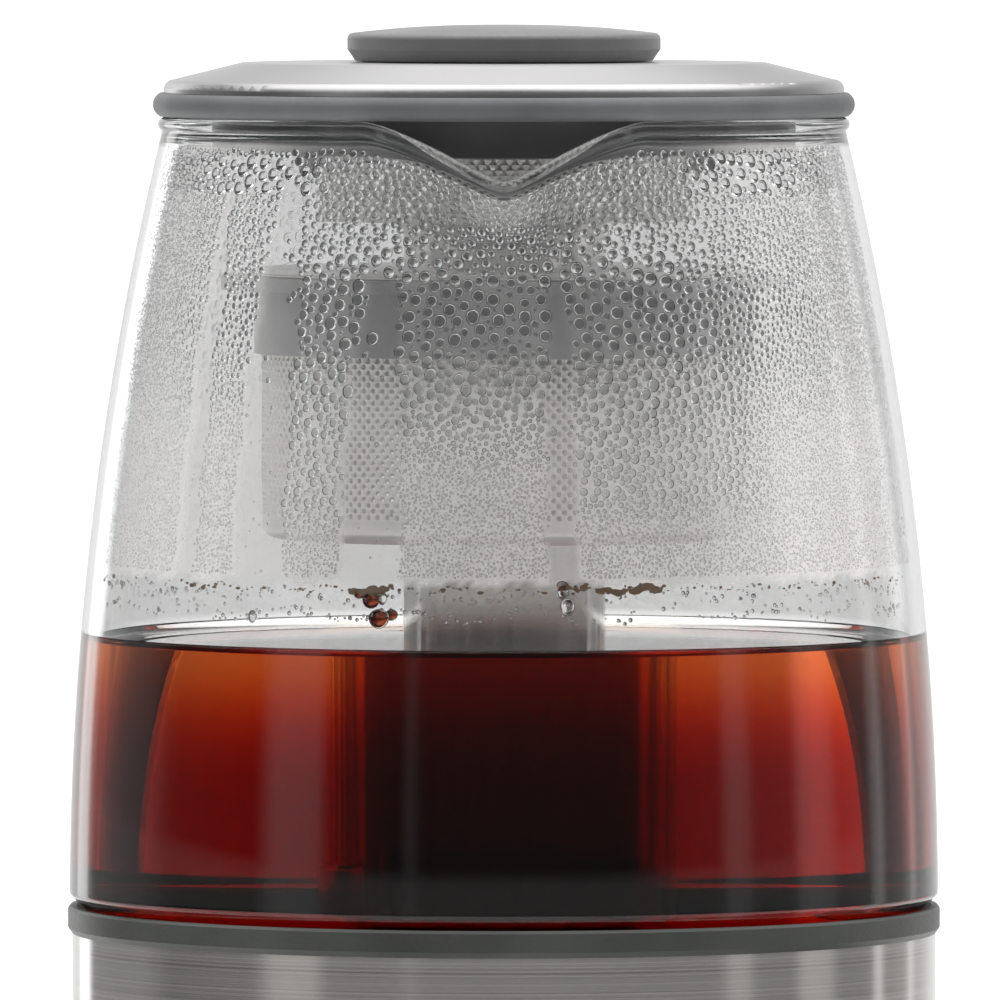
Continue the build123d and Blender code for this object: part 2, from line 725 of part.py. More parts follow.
strainer_angles = [[-90 + column * 4.0 + 2.0 * (row % 2) for column in range(-9, 9)] for row in range(5)]
basket_angles = [[column * 12.0 + 6.0 * (row % 2) for column in range(30)] for row in range(7)]

with BuildPart() as strainer_blank:
    with BuildSketch(up(STRAINER_LOW)):
        front_sector(STRAINER_HALF, 90)
        Circle(STRAINER_OUT, mode=Mode.INTERSECT)
        Circle(STRAINER_IN, mode=Mode.SUBTRACT)
    extrude(amount=PLUG_LOW + 3 - STRAINER_LOW)

with BuildPart() as lid_plug:
    with BuildSketch(up(PLUG_LOW)):
        Circle(PLUG_R)
        Circle(PLUG_R - PLUG_WALL, mode=Mode.SUBTRACT)
    extrude(amount=144.2 - PLUG_LOW)
    with BuildSketch(up(141.7)):
        Circle(PLUG_R - 1)
        Circle(2.1, mode=Mode.SUBTRACT)
    extrude(amount=2.5)
    with BuildSketch(up(144.2)):
        Circle(6)
        Circle(2.1, mode=Mode.SUBTRACT)
    extrude(amount=4.8)
    with BuildSketch(up(130.5)):
        with PolarLocations(PLUG_R - 1.25, 1, start_angle=-90 + TAB_ANGLE):
            Rectangle(2.4, 3.0)
        with PolarLocations(PLUG_R - 1.25, 1, start_angle=-90 - TAB_ANGLE):
            Rectangle(2.4, 3.0)
    extrude(amount=3.2)
    add(strainer_blank.part, mode=Mode.SUBTRACT)
write(lid_plug.part, "lid_plug")

with BuildPart() as lid_strainer:
    add(strainer_blank.part)
    with Locations(*wall_holes(0, STRAINER_OUT, strainer_angles, STRAINER_LOW + 1.8, 2.1)):
        Cylinder(0.8, 3, mode=Mode.SUBTRACT)
write(lid_strainer.part, "lid_strainer")

with BuildPart() as lid_knob:
    with BuildSketch(Plane.XZ):
        with BuildLine():
            Line((0, RING_TOP + 149.95), (KNOB_R - 1.4, RING_TOP + 149.95))
            Line((KNOB_R - 1.4, RING_TOP + 149.95), (KNOB_R, RING_TOP + 152.0))
            Line((KNOB_R, RING_TOP + 152.0), (KNOB_R, RING_TOP + 153.9))
            ThreePointArc(
                (KNOB_R, RING_TOP + 153.9),
                (KNOB_R - 0.35, RING_TOP + 154.6),
                (KNOB_R - 1.1, RING_TOP + 154.9),
            )
            ThreePointArc(
                (KNOB_R - 1.1, RING_TOP + 154.9),
                (KNOB_R / 2 + 2, RING_TOP + 155.9),
                (4, RING_TOP + 156.3),
            )
            Line((4, RING_TOP + 156.3), (0, RING_TOP + 156.3))
            Line((0, RING_TOP + 156.3), (0, RING_TOP + 149.95))
        make_face()
    revolve(axis=Axis.Z)
    with BuildSketch(up(149)):
        Circle(2.05)
    extrude(amount=5, mode=Mode.SUBTRACT)
write(lid_knob.part, "lid_knob")

with BuildPart() as knob_screw:
    with BuildSketch(up(139.3)):
        Circle(4.2)
    extrude(amount=2.4)
    with BuildSketch(up(141.7)):
        Circle(2.0)
    extrude(amount=11.8)
    with BuildSketch(up(139.3)):
        Rectangle(6, 0.9)
        Rectangle(0.9, 6)
    extrude(amount=1.2, mode=Mode.SUBTRACT)
write(knob_screw.part, "knob_screw")

# ---- infuser ------------------------------------------------------------------------------
CUP_LOW = 65.5
CUP_TOP = 111.8
COLLAR_LOW = 98.2
FLANGE_LOW = 109.5
HOLE_LOW = 70.0
with BuildPart() as infuser_basket:
    with BuildSketch(up(CUP_LOW)):
        with Locations((0, BASKET_Y)):
            Circle(BASKET_R)
    extrude(amount=CUP_TOP - CUP_LOW)
    fillet(infuser_basket.edges().group_by(Axis.Z)[0], 2.5)
    offset(amount=-BASKET_WALL, openings=infuser_basket.faces().sort_by(Axis.Z)[-1])
    with BuildSketch(up(CUP_TOP)):
        with Locations((0, BASKET_Y)):
            Circle(BASKET_R + 1.8)
            Circle(BASKET_R - BASKET_WALL, mode=Mode.SUBTRACT)
    extrude(amount=0.5)
    with Locations(*wall_holes(BASKET_Y, BASKET_R, basket_angles, HOLE_LOW + 2, 4.0)):
        Cylinder(1.5, 4, mode=Mode.SUBTRACT)
    with BuildSketch(up(CUP_LOW - 1)):
        with Locations((0, BASKET_Y)):
            with GridLocations(6, 6, 9, 9):
                Circle(1.5)
    extrude(amount=2, mode=Mode.SUBTRACT)
write(infuser_basket.part, "infuser_basket")

NOTCH_Y = POST_Y - POST_DEEP / 2 - 0.3
with BuildPart() as basket_collar:
    with BuildSketch(up(COLLAR_LOW)):
        with Locations((0, BASKET_Y)):
            Circle(BASKET_R + 1.4)
    extrude(amount=CUP_TOP - COLLAR_LOW)
    with BuildSketch(up(FLANGE_LOW)):
        with Locations((0, BASKET_Y)):
            Circle(FLANGE_R)
    extrude(amount=CUP_TOP - FLANGE_LOW)
    with BuildSketch(up(95)):
        with Locations((0, NOTCH_Y - 5)):
            RectangleRounded(36, 10, 1.5)
    extrude(amount=CUP_TOP - 95)
    with BuildSketch(up(90)):
        with Locations((0, BASKET_Y)):
            Circle(BASKET_R + 0.05)
    extrude(amount=30, mode=Mode.SUBTRACT)
    with BuildSketch(up(90)):
        with Locations((0, NOTCH_Y + 20)):
            Rectangle(80, 40)
    extrude(amount=30, mode=Mode.SUBTRACT)
    with BuildSketch(up(95)):
        with Locations((-12.5, NOTCH_Y - 2.4), (12.5, NOTCH_Y - 2.4)):
            Rectangle(8, 2.8)
    extrude(amount=13, mode=Mode.SUBTRACT)
write(basket_collar.part, "basket_collar")

with BuildPart() as basket_magnets:
    with BuildSketch(up(96)):
        with Locations((-12.5, NOTCH_Y - 2.4), (12.5, NOTCH_Y - 2.4)):
            Rectangle(8, 2.8)
    extrude(amount=12)
write(basket_magnets.part, "basket_magnets")

with BuildPart() as basket_lid:
    with BuildSketch(up(CUP_TOP + 0.55)):
        with Locations((0, BASKET_Y)):
            Circle(BASKET_R + 1.0)
    extrude(amount=0.9)
    with BuildSketch(up(CUP_TOP - 3.5)):
        with Locations((0, BASKET_Y)):
            Circle(BASKET_R - BASKET_WALL - 0.1)
            Circle(BASKET_R - BASKET_WALL - 1.1, mode=Mode.SUBTRACT)
    extrude(amount=4.1)
    with BuildSketch(up(CUP_TOP + 1.4)):
        with Locations((0, BASKET_Y)):
            SlotOverall(20, 5)
    extrude(amount=4.6)
    fillet(basket_lid.edges().group_by(Axis.Z)[-1], 1.2)
write(basket_lid.part, "basket_lid")

# ---- power base ---------------------------------------------------------------------------
FLOOR_Z = 3.0              # underside of the power base's cover


def base_plan(inset):
    """Round under the jug, drawn out by tangents to a control panel with rounded corners on +X."""
    corner = Vector(PANEL_END - PANEL_CORNER, PANEL_HALF - PANEL_CORNER)
    big = BASE_R - inset
    small = PANEL_CORNER - inset
    turn = math.atan2(corner.Y, corner.X) + math.acos((big - small) / corner.length)
    away = Vector(math.cos(turn), math.sin(turn))
    mid = Vector(math.cos(turn / 2), math.sin(turn / 2))
    side = away * big
    shoulder = corner + away * small
    knuckle = corner + mid * small
    end = Vector(PANEL_END - inset, corner.Y)
    with BuildSketch() as plan:
        with BuildLine():
            ThreePointArc((side.X, side.Y), (-big, 0), (side.X, -side.Y))
            Line((side.X, -side.Y), (shoulder.X, -shoulder.Y))
            ThreePointArc((shoulder.X, -shoulder.Y), (knuckle.X, -knuckle.Y), (end.X, -end.Y))
            Line((end.X, -end.Y), (end.X, end.Y))
            ThreePointArc((end.X, end.Y), (knuckle.X, knuckle.Y), (shoulder.X, shoulder.Y))
            Line((shoulder.X, shoulder.Y), (side.X, side.Y))
        make_face()
    return plan.sketch


def base_block(inset, low, high):
    """The plan as a solid, with the control panel sloped down towards +X."""
    plan = base_plan(inset)
    slope_start = (BASE_R + 1, 0, high)
    with BuildPart() as block:
        with BuildSketch(Plane.XY.offset(low)):
            add(plan)
        extrude(amount=high - low)
        with BuildSketch(Plane(slope_start, x_dir=(0, 1, 0), z_dir=panel_normal)):
            Rectangle(300, 200, align=(Align.CENTER, Align.MAX))
        extrude(amount=60, mode=Mode.SUBTRACT)
    return block.part


panel_normal = Vector(math.sin(math.radians(PANEL_SLOPE)), 0, math.cos(math.radians(PANEL_SLOPE)))
panel_along = Vector(math.cos(math.radians(PANEL_SLOPE)), 0, -math.sin(math.radians(PANEL_SLOPE)))
panel_origin = Vector(BASE_R + 1, 0, DECK_TOP)


def panel_plane(along, lift=0.0):
    """Plane on the sloped panel, this far down the slope; its x runs down, its y along +Y."""
    return Plane(panel_origin + panel_along * along + panel_normal * lift, x_dir=panel_along, z_dir=panel_normal)


DISPLAY_ALONG = 17.0
DISPLAY_SIZE = (20.0, 46.0)
BUTTON_ALONG = 42.0
BUTTON_SPACING = 15.5
BUTTON_SIZE = (8.0, 12.5)
HOLE_GAP = 0.25
SOCKET_R = 21.0
base_screw_places = [(-50, 55), (-50, -55), (100, 46), (100, -46)]

outer_block = base_block(0.0, FLOOR_Z, DECK_TOP)
inner_block = base_block(BASE_WALL, FLOOR_Z - 1, DECK_TOP - BASE_WALL)

with BuildPart() as base_housing:
    add(outer_block)
    add(inner_block, mode=Mode.SUBTRACT)
    with BuildSketch(Plane.XY.offset(DECK_TOP - 0.8)):
        Circle(79.1)
    extrude(amount=2, mode=Mode.SUBTRACT)
    with BuildSketch(Plane.XY.offset(DECK_TOP - 5)):
        Circle(SOCKET_R + 0.3)
    extrude(amount=6, mode=Mode.SUBTRACT)
    with BuildSketch(panel_plane(DISPLAY_ALONG, -BASE_WALL - 2)):
        RectangleRounded(DISPLAY_SIZE[0], DISPLAY_SIZE[1], 3)
    extrude(amount=8, mode=Mode.SUBTRACT)
    with BuildSketch(panel_plane(BUTTON_ALONG, -BASE_WALL - 2)):
        with GridLocations(0, BUTTON_SPACING, 1, 5):
            RectangleRounded(BUTTON_SIZE[0], BUTTON_SIZE[1], 3.9)
    extrude(amount=8, mode=Mode.SUBTRACT)
    with BuildSketch(Plane.YZ.offset(-BASE_R - 2)):
        with Locations((0, 12)):
            Circle(5)
    extrude(amount=8, mode=Mode.SUBTRACT)
    with BuildSketch(Plane.XY.offset(FLOOR_Z + 3)):
        with Locations(*base_screw_places[:2]):
            Circle(4)
    extrude(amount=DECK_TOP - BASE_WALL - FLOOR_Z - 2.9)
    with BuildSketch(Plane.XY.offset(FLOOR_Z + 3)):
        with Locations(*base_screw_places[2:]):
            Circle(4)
    extrude(amount=17.6)
    with BuildSketch(Plane.XY.offset(FLOOR_Z + 3)):
        with Locations(*base_screw_places):
            Circle(1.5)
    extrude(amount=9, mode=Mode.SUBTRACT)
write(base_housing.part, "base_housing")

with BuildPart() as deck_plate:
    with BuildSketch(Plane.XY.offset(DECK_TOP - 0.8)):
        Circle(79)
        Circle(SOCKET_R + 0.3, mode=Mode.SUBTRACT)
    extrude(amount=0.8)
write(deck_plate.part, "deck_plate")

cover_plan = base_plan(BASE_WALL + 0.2)
with BuildPart() as base_bottom:
    with BuildSketch(Plane.XY.offset(FLOOR_Z)):
        add(cover_plan)
    extrude(amount=2.8)
    with BuildSketch(Plane.XY.offset(FLOOR_Z)):
        with Locations(*base_screw_places):
            Circle(1.7)
    extrude(amount=3, mode=Mode.SUBTRACT)
    with BuildSketch(Plane.XY.offset(FLOOR_Z)):
        with Locations(*base_screw_places):
            Circle(3.2)
    extrude(amount=1.8, mode=Mode.SUBTRACT)
    with BuildSketch(Plane.XY.offset(FLOOR_Z + 2.8)):
        Circle(26)
        Circle(22, mode=Mode.SUBTRACT)
    extrude(amount=DECK_TOP - BASE_WALL - 3 - FLOOR_Z - 2.8)
write(base_bottom.part, "base_bottom")

with BuildPart() as base_screws:
    with BuildSketch(Plane.XY.offset(FLOOR_Z + 0.2)):
        with Locations(*base_screw_places):
            Circle(3.0)
    extrude(amount=1.6)
    with BuildSketch(Plane.XY.offset(FLOOR_Z + 1.8)):
        with Locations(*base_screw_places):
            Circle(1.45)
    extrude(amount=8)
    with BuildSketch(Plane.XY.offset(FLOOR_Z + 0.2)):
        with Locations(*base_screw_places):
            Rectangle(3.6, 0.7)
            Rectangle(0.7, 3.6)
    extrude(amount=0.8, mode=Mode.SUBTRACT)
write(base_screws.part, "base_screws")

with BuildPart() as rubber_feet:
    with BuildSketch():
        with Locations((0, 0), (-62, 38), (-62, -38), (56, 52), (56, -52), (128, 0)):
            Circle(7)
    extrude(amount=FLOOR_Z)
    chamfer(rubber_feet.edges().group_by(Axis.Z)[0], 0.6)
write(rubber_feet.part, "rubber_feet")

TOWER_TOP = DECK_TOP + 12.5
TRENCH_LOW = DECK_TOP + 1.5
with BuildPart() as base_socket:
    with BuildSketch(Plane.XY.offset(DECK_TOP - BASE_WALL)):
        Circle(SOCKET_R)
    extrude(amount=TOWER_TOP - DECK_TOP + BASE_WALL)
    fillet(base_socket.edges().group_by(Axis.Z)[-1], 1.5)
    with BuildSketch(Plane.XY.offset(DECK_TOP - BASE_WALL - 3)):
        Circle(25.5)
    extrude(amount=3)
    with BuildSketch(Plane.XY.offset(TRENCH_LOW)):
        Circle(17.2)
        Circle(12.3, mode=Mode.SUBTRACT)
    extrude(amount=20, mode=Mode.SUBTRACT)
    with BuildSketch(Plane.XY.offset(TRENCH_LOW)):
        Circle(3.4)
    extrude(amount=20, mode=Mode.SUBTRACT)
write(base_socket.part, "base_socket")

with BuildPart() as socket_contacts:
    with BuildSketch(Plane.XY.offset(TRENCH_LOW)):
        with PolarLocations(16.45, 3):
            Rectangle(0.6, 4)
    extrude(amount=7)
    with BuildSketch(Plane.XY.offset(TRENCH_LOW)):
        Circle(3.3)
        Circle(2.7, mode=Mode.SUBTRACT)
    extrude(amount=6)
write(socket_contacts.part, "socket_contacts")

BOARD_DROP = BASE_WALL + 3.2
with BuildPart() as circuit_board:
    with BuildSketch(panel_plane(30, -BOARD_DROP - 1.6)):
        Rectangle(40, 76)
    extrude(amount=1.6)
    with BuildSketch(panel_plane(30, -BOARD_DROP - 4)):
        with Locations((-6, -20), (-6, 16)):
            Rectangle(12, 12)
    extrude(amount=2.4)
    with BuildSketch(panel_plane(BUTTON_ALONG, -BOARD_DROP)):
        with GridLocations(0, BUTTON_SPACING, 1, 5):
            Rectangle(5, 5)
    extrude(amount=0.8)
write(circuit_board.part, "circuit_board")

with BuildPart() as display_module:
    with BuildSketch(panel_plane(DISPLAY_ALONG, -BOARD_DROP)):
        Rectangle(DISPLAY_SIZE[0] - 2, DISPLAY_SIZE[1] - 4)
    extrude(amount=BOARD_DROP - 1.6)
write(display_module.part, "display_module")

with BuildPart() as display_lens:
    with BuildSketch(panel_plane(DISPLAY_ALONG, -1.4)):
        RectangleRounded(DISPLAY_SIZE[0], DISPLAY_SIZE[1], 3)
    extrude(amount=1.6)
write(display_lens.part, "display_lens")

button_names = ["button_leaf", "button_strength", "button_heat", "button_hot_water", "button_brew"]
for index, button_name in enumerate(button_names):
    across = (index - 2) * BUTTON_SPACING
    with BuildPart() as button:
        with BuildSketch(panel_plane(BUTTON_ALONG, -BOARD_DROP + 0.8 + BUTTON_STROKE + 0.1)):
            with Locations((0, across)):
                Rectangle(3, 3)
        extrude(amount=BOARD_DROP - 0.8 - BUTTON_STROKE - 0.1 - 1.8)
        with BuildSketch(panel_plane(BUTTON_ALONG, -1.8)):
            with Locations((0, across)):
                RectangleRounded(BUTTON_SIZE[0] - 2 * HOLE_GAP, BUTTON_SIZE[1] - 2 * HOLE_GAP, 3.6)
        extrude(amount=3.0)
        fillet(button.edges().group_by(Axis((0, 0, 0), tuple(panel_normal)))[-1], 0.6)
    write(button.part, button_name)

# ---- power cord ---------------------------------------------------------------------------
CORD_R = 3.2
CORD_Z = 12.0
PLUG_LONG = 26.0
plug_face = (-118.0, 148.0, 10.0)
with BuildPart() as power_cord:
    with BuildLine() as cord_path:
        Spline(
            (-BASE_R + 6, 0, CORD_Z),
            (-BASE_R - 20, 0, CORD_Z),
            (-BASE_R - 52, 22, 6.5),
            (-BASE_R - 62, 60, 4.0),
            (-BASE_R - 50, 105, 4.6),
            (plug_face[0], plug_face[1] + 4, plug_face[2]),
        )
    with BuildSketch(Plane(cord_path.line @ 0, z_dir=cord_path.line % 0)):
        Circle(CORD_R)
    sweep()
write(power_cord.part, "power_cord")

with BuildPart() as strain_relief:
    with BuildSketch(Plane.YZ.offset(-BASE_R - 16)):
        with Locations((0, CORD_Z)):
            Circle(CORD_R + 1.4)
    extrude(amount=16)
    with BuildSketch(Plane.YZ.offset(-BASE_R)):
        with Locations((0, CORD_Z)):
            Circle(4.9)
    extrude(amount=4)
    with BuildSketch(Plane.YZ.offset(-BASE_R + 3)):
        with Locations((0, CORD_Z)):
            Circle(6)
    extrude(amount=2)
    add(power_cord.part, mode=Mode.SUBTRACT)
write(strain_relief.part, "strain_relief")

with BuildPart() as plug_body:
    with BuildSketch(Plane(plug_face, x_dir=(1, 0, 0), z_dir=(0, 1, 0))):
        Circle(5)
    with BuildSketch(Plane(plug_face, x_dir=(1, 0, 0), z_dir=(0, 1, 0)).offset(10)):
        RectangleRounded(24, 18, 6)
    with BuildSketch(Plane(plug_face, x_dir=(1, 0, 0), z_dir=(0, 1, 0)).offset(PLUG_LONG)):
        RectangleRounded(26, 19.5, 6)
    loft(ruled=True)
    add(power_cord.part, mode=Mode.SUBTRACT)
write(plug_body.part, "plug_body")

with BuildPart() as plug_pins:
    with BuildSketch(Plane(plug_face, x_dir=(1, 0, 0), z_dir=(0, 1, 0)).offset(PLUG_LONG)):
        with GridLocations(12.7, 0, 2, 1):
            Rectangle(1.5, 6.3)
    extrude(amount=17)
write(plug_pins.part, "plug_pins")
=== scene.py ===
import json
import math
import random

import bpy
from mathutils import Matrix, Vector


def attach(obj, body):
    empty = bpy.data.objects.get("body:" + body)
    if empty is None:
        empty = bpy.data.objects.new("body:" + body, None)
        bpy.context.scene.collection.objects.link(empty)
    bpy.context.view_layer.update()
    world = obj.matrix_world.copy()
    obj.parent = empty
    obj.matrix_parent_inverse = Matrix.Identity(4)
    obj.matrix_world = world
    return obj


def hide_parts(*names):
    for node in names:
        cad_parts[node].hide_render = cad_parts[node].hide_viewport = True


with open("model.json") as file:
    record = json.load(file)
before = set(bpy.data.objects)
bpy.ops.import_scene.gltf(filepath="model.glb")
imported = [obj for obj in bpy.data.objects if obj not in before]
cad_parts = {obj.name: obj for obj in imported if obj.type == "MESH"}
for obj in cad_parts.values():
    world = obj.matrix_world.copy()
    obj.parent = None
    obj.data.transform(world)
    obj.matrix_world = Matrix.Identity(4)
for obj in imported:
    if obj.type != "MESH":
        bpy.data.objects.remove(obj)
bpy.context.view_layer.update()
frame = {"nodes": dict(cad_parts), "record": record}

NODES = frame["nodes"]

# ---- sizes of the model, in millimetres ---------------------------------------------------
RING_TOP = 90.0
RING_R = 77.5
JUG_R = 77.2
JUG_WALL = 3.0
JUG_HEIGHT = 140.0
TAPER = 0.000872
FOOT_R = 74.6
FOOT_BOTTOM = 74.0
FLOOR_TOP = 84.0
SPOUT_DROP = 10.2
SPOUT_HALF = 23.0
SPOUT_REACH = 8.0
SPOUT_DEPTH = 30.0
TEA_LEVEL = 46.9
SCUM_LEVEL = 58.8
BASKET_R = 42.8
BASKET_Y = -6.0
CUP_LOW = 65.5
CUP_TOP = 111.8
HOLES_LOW = 69.8
HOLES_HIGH = 98.2
STRAINER_R = 50.7
STRAINER_LOW = 122.0
STRAINER_TOP = 136.4
HOLE_PITCH = 1.92
HOLE_ROW = 1.05
HOLE_R = 0.5


def blend_step(low, high, value):
    """0 below low, 1 above high, smooth in between."""
    t = min(max((value - low) / (high - low), 0.0), 1.0)
    return t * t * (3 - 2 * t)


# ---- mesh making --------------------------------------------------------------------------
def make_piece(name, verts, faces, materials, body, smooth=True, face_materials=None):
    """A mesh piece from points in millimetres, riding on a CAD body."""
    mesh = bpy.data.meshes.new(name)
    mesh.from_pydata([(x * 0.001, y * 0.001, z * 0.001) for x, y, z in verts], [], faces)
    for material in materials:
        mesh.materials.append(material)
    if face_materials:
        mesh.polygons.foreach_set("material_index", face_materials)
    mesh.polygons.foreach_set("use_smooth", [smooth and len(face) <= 4 for face in faces])
    mesh.update()
    piece = bpy.data.objects.new(name, mesh)
    bpy.context.scene.collection.objects.link(piece)
    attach(piece, body)
    return piece


def grid_faces(rows, columns, wrap):
    """Quads of a grid of points stored row by row; wrap joins the last column to the first."""
    faces = []
    last = columns if wrap else columns - 1
    for i in range(rows - 1):
        for j in range(last):
            k = (j + 1) % columns
            faces.append((i * columns + j, i * columns + k, (i + 1) * columns + k, (i + 1) * columns + j))
    return faces


# ---- the shape of the jug -----------------------------------------------------------------
def wall_radius(height, inset=0.0):
    """Outer radius of the glass at a height above the ring, less an inset."""
    if height < 2.5:
        foot = blend_step(-0.8, 2.5, height)
        return FOOT_R + (JUG_R - FOOT_R) * foot - inset
    return JUG_R - TAPER * height * height - inset


def spout_point(angle, radius, height):
    """A point of the jug at an angle from the front, moved by the spout. Positive angles are towards +X."""
    side = radius * math.sin(angle)
    near = math.cos(angle) > 0.5
    rise = blend_step(JUG_HEIGHT - SPOUT_DEPTH, JUG_HEIGHT + 2, height) if near else 0.0
    across = math.sqrt(side * side + 3.0) - math.sqrt(3.0)
    share = max(1 - across / SPOUT_HALF, 0.0)
    lean = max(1 - across / (SPOUT_HALF + 3), 0.0)
    out = SPOUT_REACH * rise ** 1.7 * lean ** 1.35
    drop = SPOUT_DROP * rise ** 1.4 * share ** 1.45
    reach = radius + out
    return (reach * math.sin(angle), -reach * math.cos(angle), RING_TOP + height - drop)


def inner_point(angle, height, inset):
    return spout_point(angle, wall_radius(height, JUG_WALL + inset), height)


def inner_frame(angle, height):
    """A point of the inner wall with its inward normal, its sideways and its downward direction."""
    here = Vector(inner_point(angle, height, 0.0))
    side = (Vector(inner_point(angle + 0.01, height, 0.0)) - here).normalized()
    down = (Vector(inner_point(angle, height - 0.5, 0.0)) - here).normalized()
    inward = side.cross(down).normalized()
    if inward.dot(Vector((here.x, here.y, 0))) > 0:
        inward = -inward
    return here, inward, side, down


def jug_angles():
    """Angles round the jug, closer together at the spout."""
    fine = [math.radians(-36 + 0.5 * i) for i in range(144)]
    coarse = [math.radians(36 + 1.6 * i) for i in range(180)]
    return fine + coarse


def jug_profile():
    """(radius, height) up the outside, over the rim bead and down the inside."""
    profile = [(FOOT_R, FOOT_BOTTOM - RING_TOP)]
    profile += [(wall_radius(h), h) for h in (-4, -1, -0.4, 0.2, 0.8, 1.4, 2.0, 2.3, 2.6, 3.0, 3.6)]
    profile += [(wall_radius(h), h) for h in range(5, 112, 4)]
    profile += [(wall_radius(h), h) for h in range(112, 137, 2)]
    rim = wall_radius(JUG_HEIGHT)
    middle = rim - 1.0
    low = JUG_HEIGHT - 1.3
    for step in range(9):
        a = math.radians(-60 + 150 * step / 8)
        profile.append((middle + 1.0 + 1.3 * math.cos(a), low + 1.3 * math.sin(a)))
    for step in range(9):
        a = math.radians(90 + 140 * step / 8)
        profile.append((middle - 1.1 + 1.2 * math.cos(a), low + 1.3 * math.sin(a)))
    profile += [(wall_radius(h, JUG_WALL), h) for h in range(136, 110, -2)]
    profile += [(wall_radius(h, JUG_WALL), h) for h in range(108, 4, -4)]
    profile += [(wall_radius(h, JUG_WALL), h) for h in (5, 3.6, 3.0, 2.6, 2.3, 2.0, 1.4, 0.8, 0.2, -0.4, -1, -4)]
    profile.append((FOOT_R - JUG_WALL, FOOT_BOTTOM - RING_TOP))
    return profile


def build_jug(glass):
    angles = jug_angles()
    profile = jug_profile()
    verts = [spout_point(a, r, h) for r, h in profile for a in angles]
    faces = grid_faces(len(profile), len(angles), True)
    count = len(angles)
    last = (len(profile) - 1) * count
    faces += [(last + j, last + (j + 1) % count, (j + 1) % count, j) for j in range(count)]
    jug = make_piece("jug_glass", verts, faces, [glass], "kettle")
    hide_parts("glass_jug")


def build_tea(tea):
    """The drink: a little into the glass, so that no film of air is left, with a raised edge at the wall."""
    angles = [math.radians(1.5 * i) for i in range(240)]
    levels = [-6.1, -4, -2, -0.8, -0.4, 0.2, 0.8, 1.4, 2.0, 2.3, 2.6, 3.0, 3.6, 5.0] + list(range(8, 44, 4))
    levels += [45.0, 46.6, 47.9, 48.4]
    verts = [inner_point(a, h, -0.25) for h in levels for a in angles]
    for inset, lift in ((0.3, 1.2), (0.8, 0.7), (1.4, 0.33), (2.4, 0.12), (4.0, 0.0), (30.0, 0.0)):
        verts += [inner_point(a, TEA_LEVEL, inset)[:2] + (RING_TOP + TEA_LEVEL + lift,) for a in angles]
    faces = grid_faces(len(levels) + 6, len(angles), True)
    faces.append(tuple(reversed(range(240))))
    top = (len(levels) + 5) * 240
    faces.append(tuple(top + j for j in range(240)))
    make_piece("tea", verts, faces, [tea], "kettle")


# ---- condensation -------------------------------------------------------------------------
def add_drop(verts, faces, angle, height, radius, tall, stretch, rings, sides, wide=1.0):
    """A closed dome of water on the inner wall, its flat back just inside the glass."""
    here, inward, side, down = inner_frame(angle, height)
    start = len(verts)
    for ring in range(rings + 1):
        t = ring / rings
        reach = math.cos(t * math.pi / 2 * 0.999) if ring else 1.0
        lift = tall * math.sin(t * math.pi / 2) if ring else -0.06
        if ring == rings:
            verts.append(tuple(here + inward * tall + down * (stretch - 1) * radius * 0.3))
            continue
        for k in range(sides):
            a = 2 * math.pi * k / sides
            sag = stretch if math.sin(a) > 0 else 1.0
            offset = side * math.cos(a) * wide + down * math.sin(a) * sag
            verts.append(tuple(here + offset * radius * reach + inward * lift))
    for ring in range(rings - 1):
        low = start + ring * sides
        for k in range(sides):
            n = (k + 1) % sides
            faces.append((low + k, low + n, low + sides + n, low + sides + k))
    top = start + rings * sides
    low = top - sides
    faces += [(low + k, low + (k + 1) % sides, top) for k in range(sides)]
    faces.append(tuple(start + k for k in reversed(range(sides))))


# run-off tracks on the wall: middle and half width in degrees from the spout, height of the top
TRACKS = [(-51.0, 2.2, 127), (-37.2, 4.4, 128), (-19.4, 4.5, 113), (8.4, 2.3, 115)]


def track_share(angle, height):
    """1 in the middle of a run-off track, 0 outside, with wavering edges."""
    degrees = math.degrees(angle)
    best = 0.0
    for middle, half, top in TRACKS:
        waver = 0.35 * math.sin(height * 0.31 + middle) + 0.2 * math.sin(height * 0.83 + 2 * middle)
        narrow = 0.55 + 0.45 * blend_step(top, top - 25, height)
        gap = abs(degrees - middle - waver)
        inside = 1 - blend_step(half * narrow - 0.8, half * narrow + 0.5, gap)
        best = max(best, inside * (1 - blend_step(top - 2, top + 2, height)))
    return best


def drop_size(angle, height):
    """Usual radius of a drop here: large below the lid and round the middle, fine low down and at the sides."""
    degrees = math.degrees(angle)
    away = abs(degrees)
    ripe = blend_step(84, 100, height)
    low = 0.21
    if 11 < degrees < 42:
        low = 0.22 + 0.30 * blend_step(70, 76, height) * (1 - blend_step(34, 42, degrees))
    if -33 < degrees < -23:
        low = 0.22 + 0.30 * blend_step(68, 74, height)
    if -23 < degrees < 8:
        low = 0.20 + 0.22 * blend_step(78, 88, height)
    high = 0.40 + 0.42 * blend_step(46, 22, away)
    high -= 0.26 * blend_step(112, 124, height) * blend_step(46, 22, away)
    size = low + (high - low) * ripe
    if 127 < height < 133.5 and away > 30:
        size = 0.80
    return size * (1 - 0.45 * blend_step(46, 74, away))


class DropField:
    """Places drops so that they don't touch."""

    def __init__(self):
        self.cells = {}

    def fits(self, x, z, radius):
        cx, cz = int(x // 2.6), int(z // 2.6)
        for i in range(cx - 1, cx + 2):
            for j in range(cz - 1, cz + 2):
                for ox, oz, r in self.cells.get((i, j), ()):
                    if (ox - x) ** 2 + (oz - z) ** 2 < (1.03 * (r + radius)) ** 2:
                        return False
        self.cells.setdefault((cx, cz), []).append((x, z, radius))
        return True


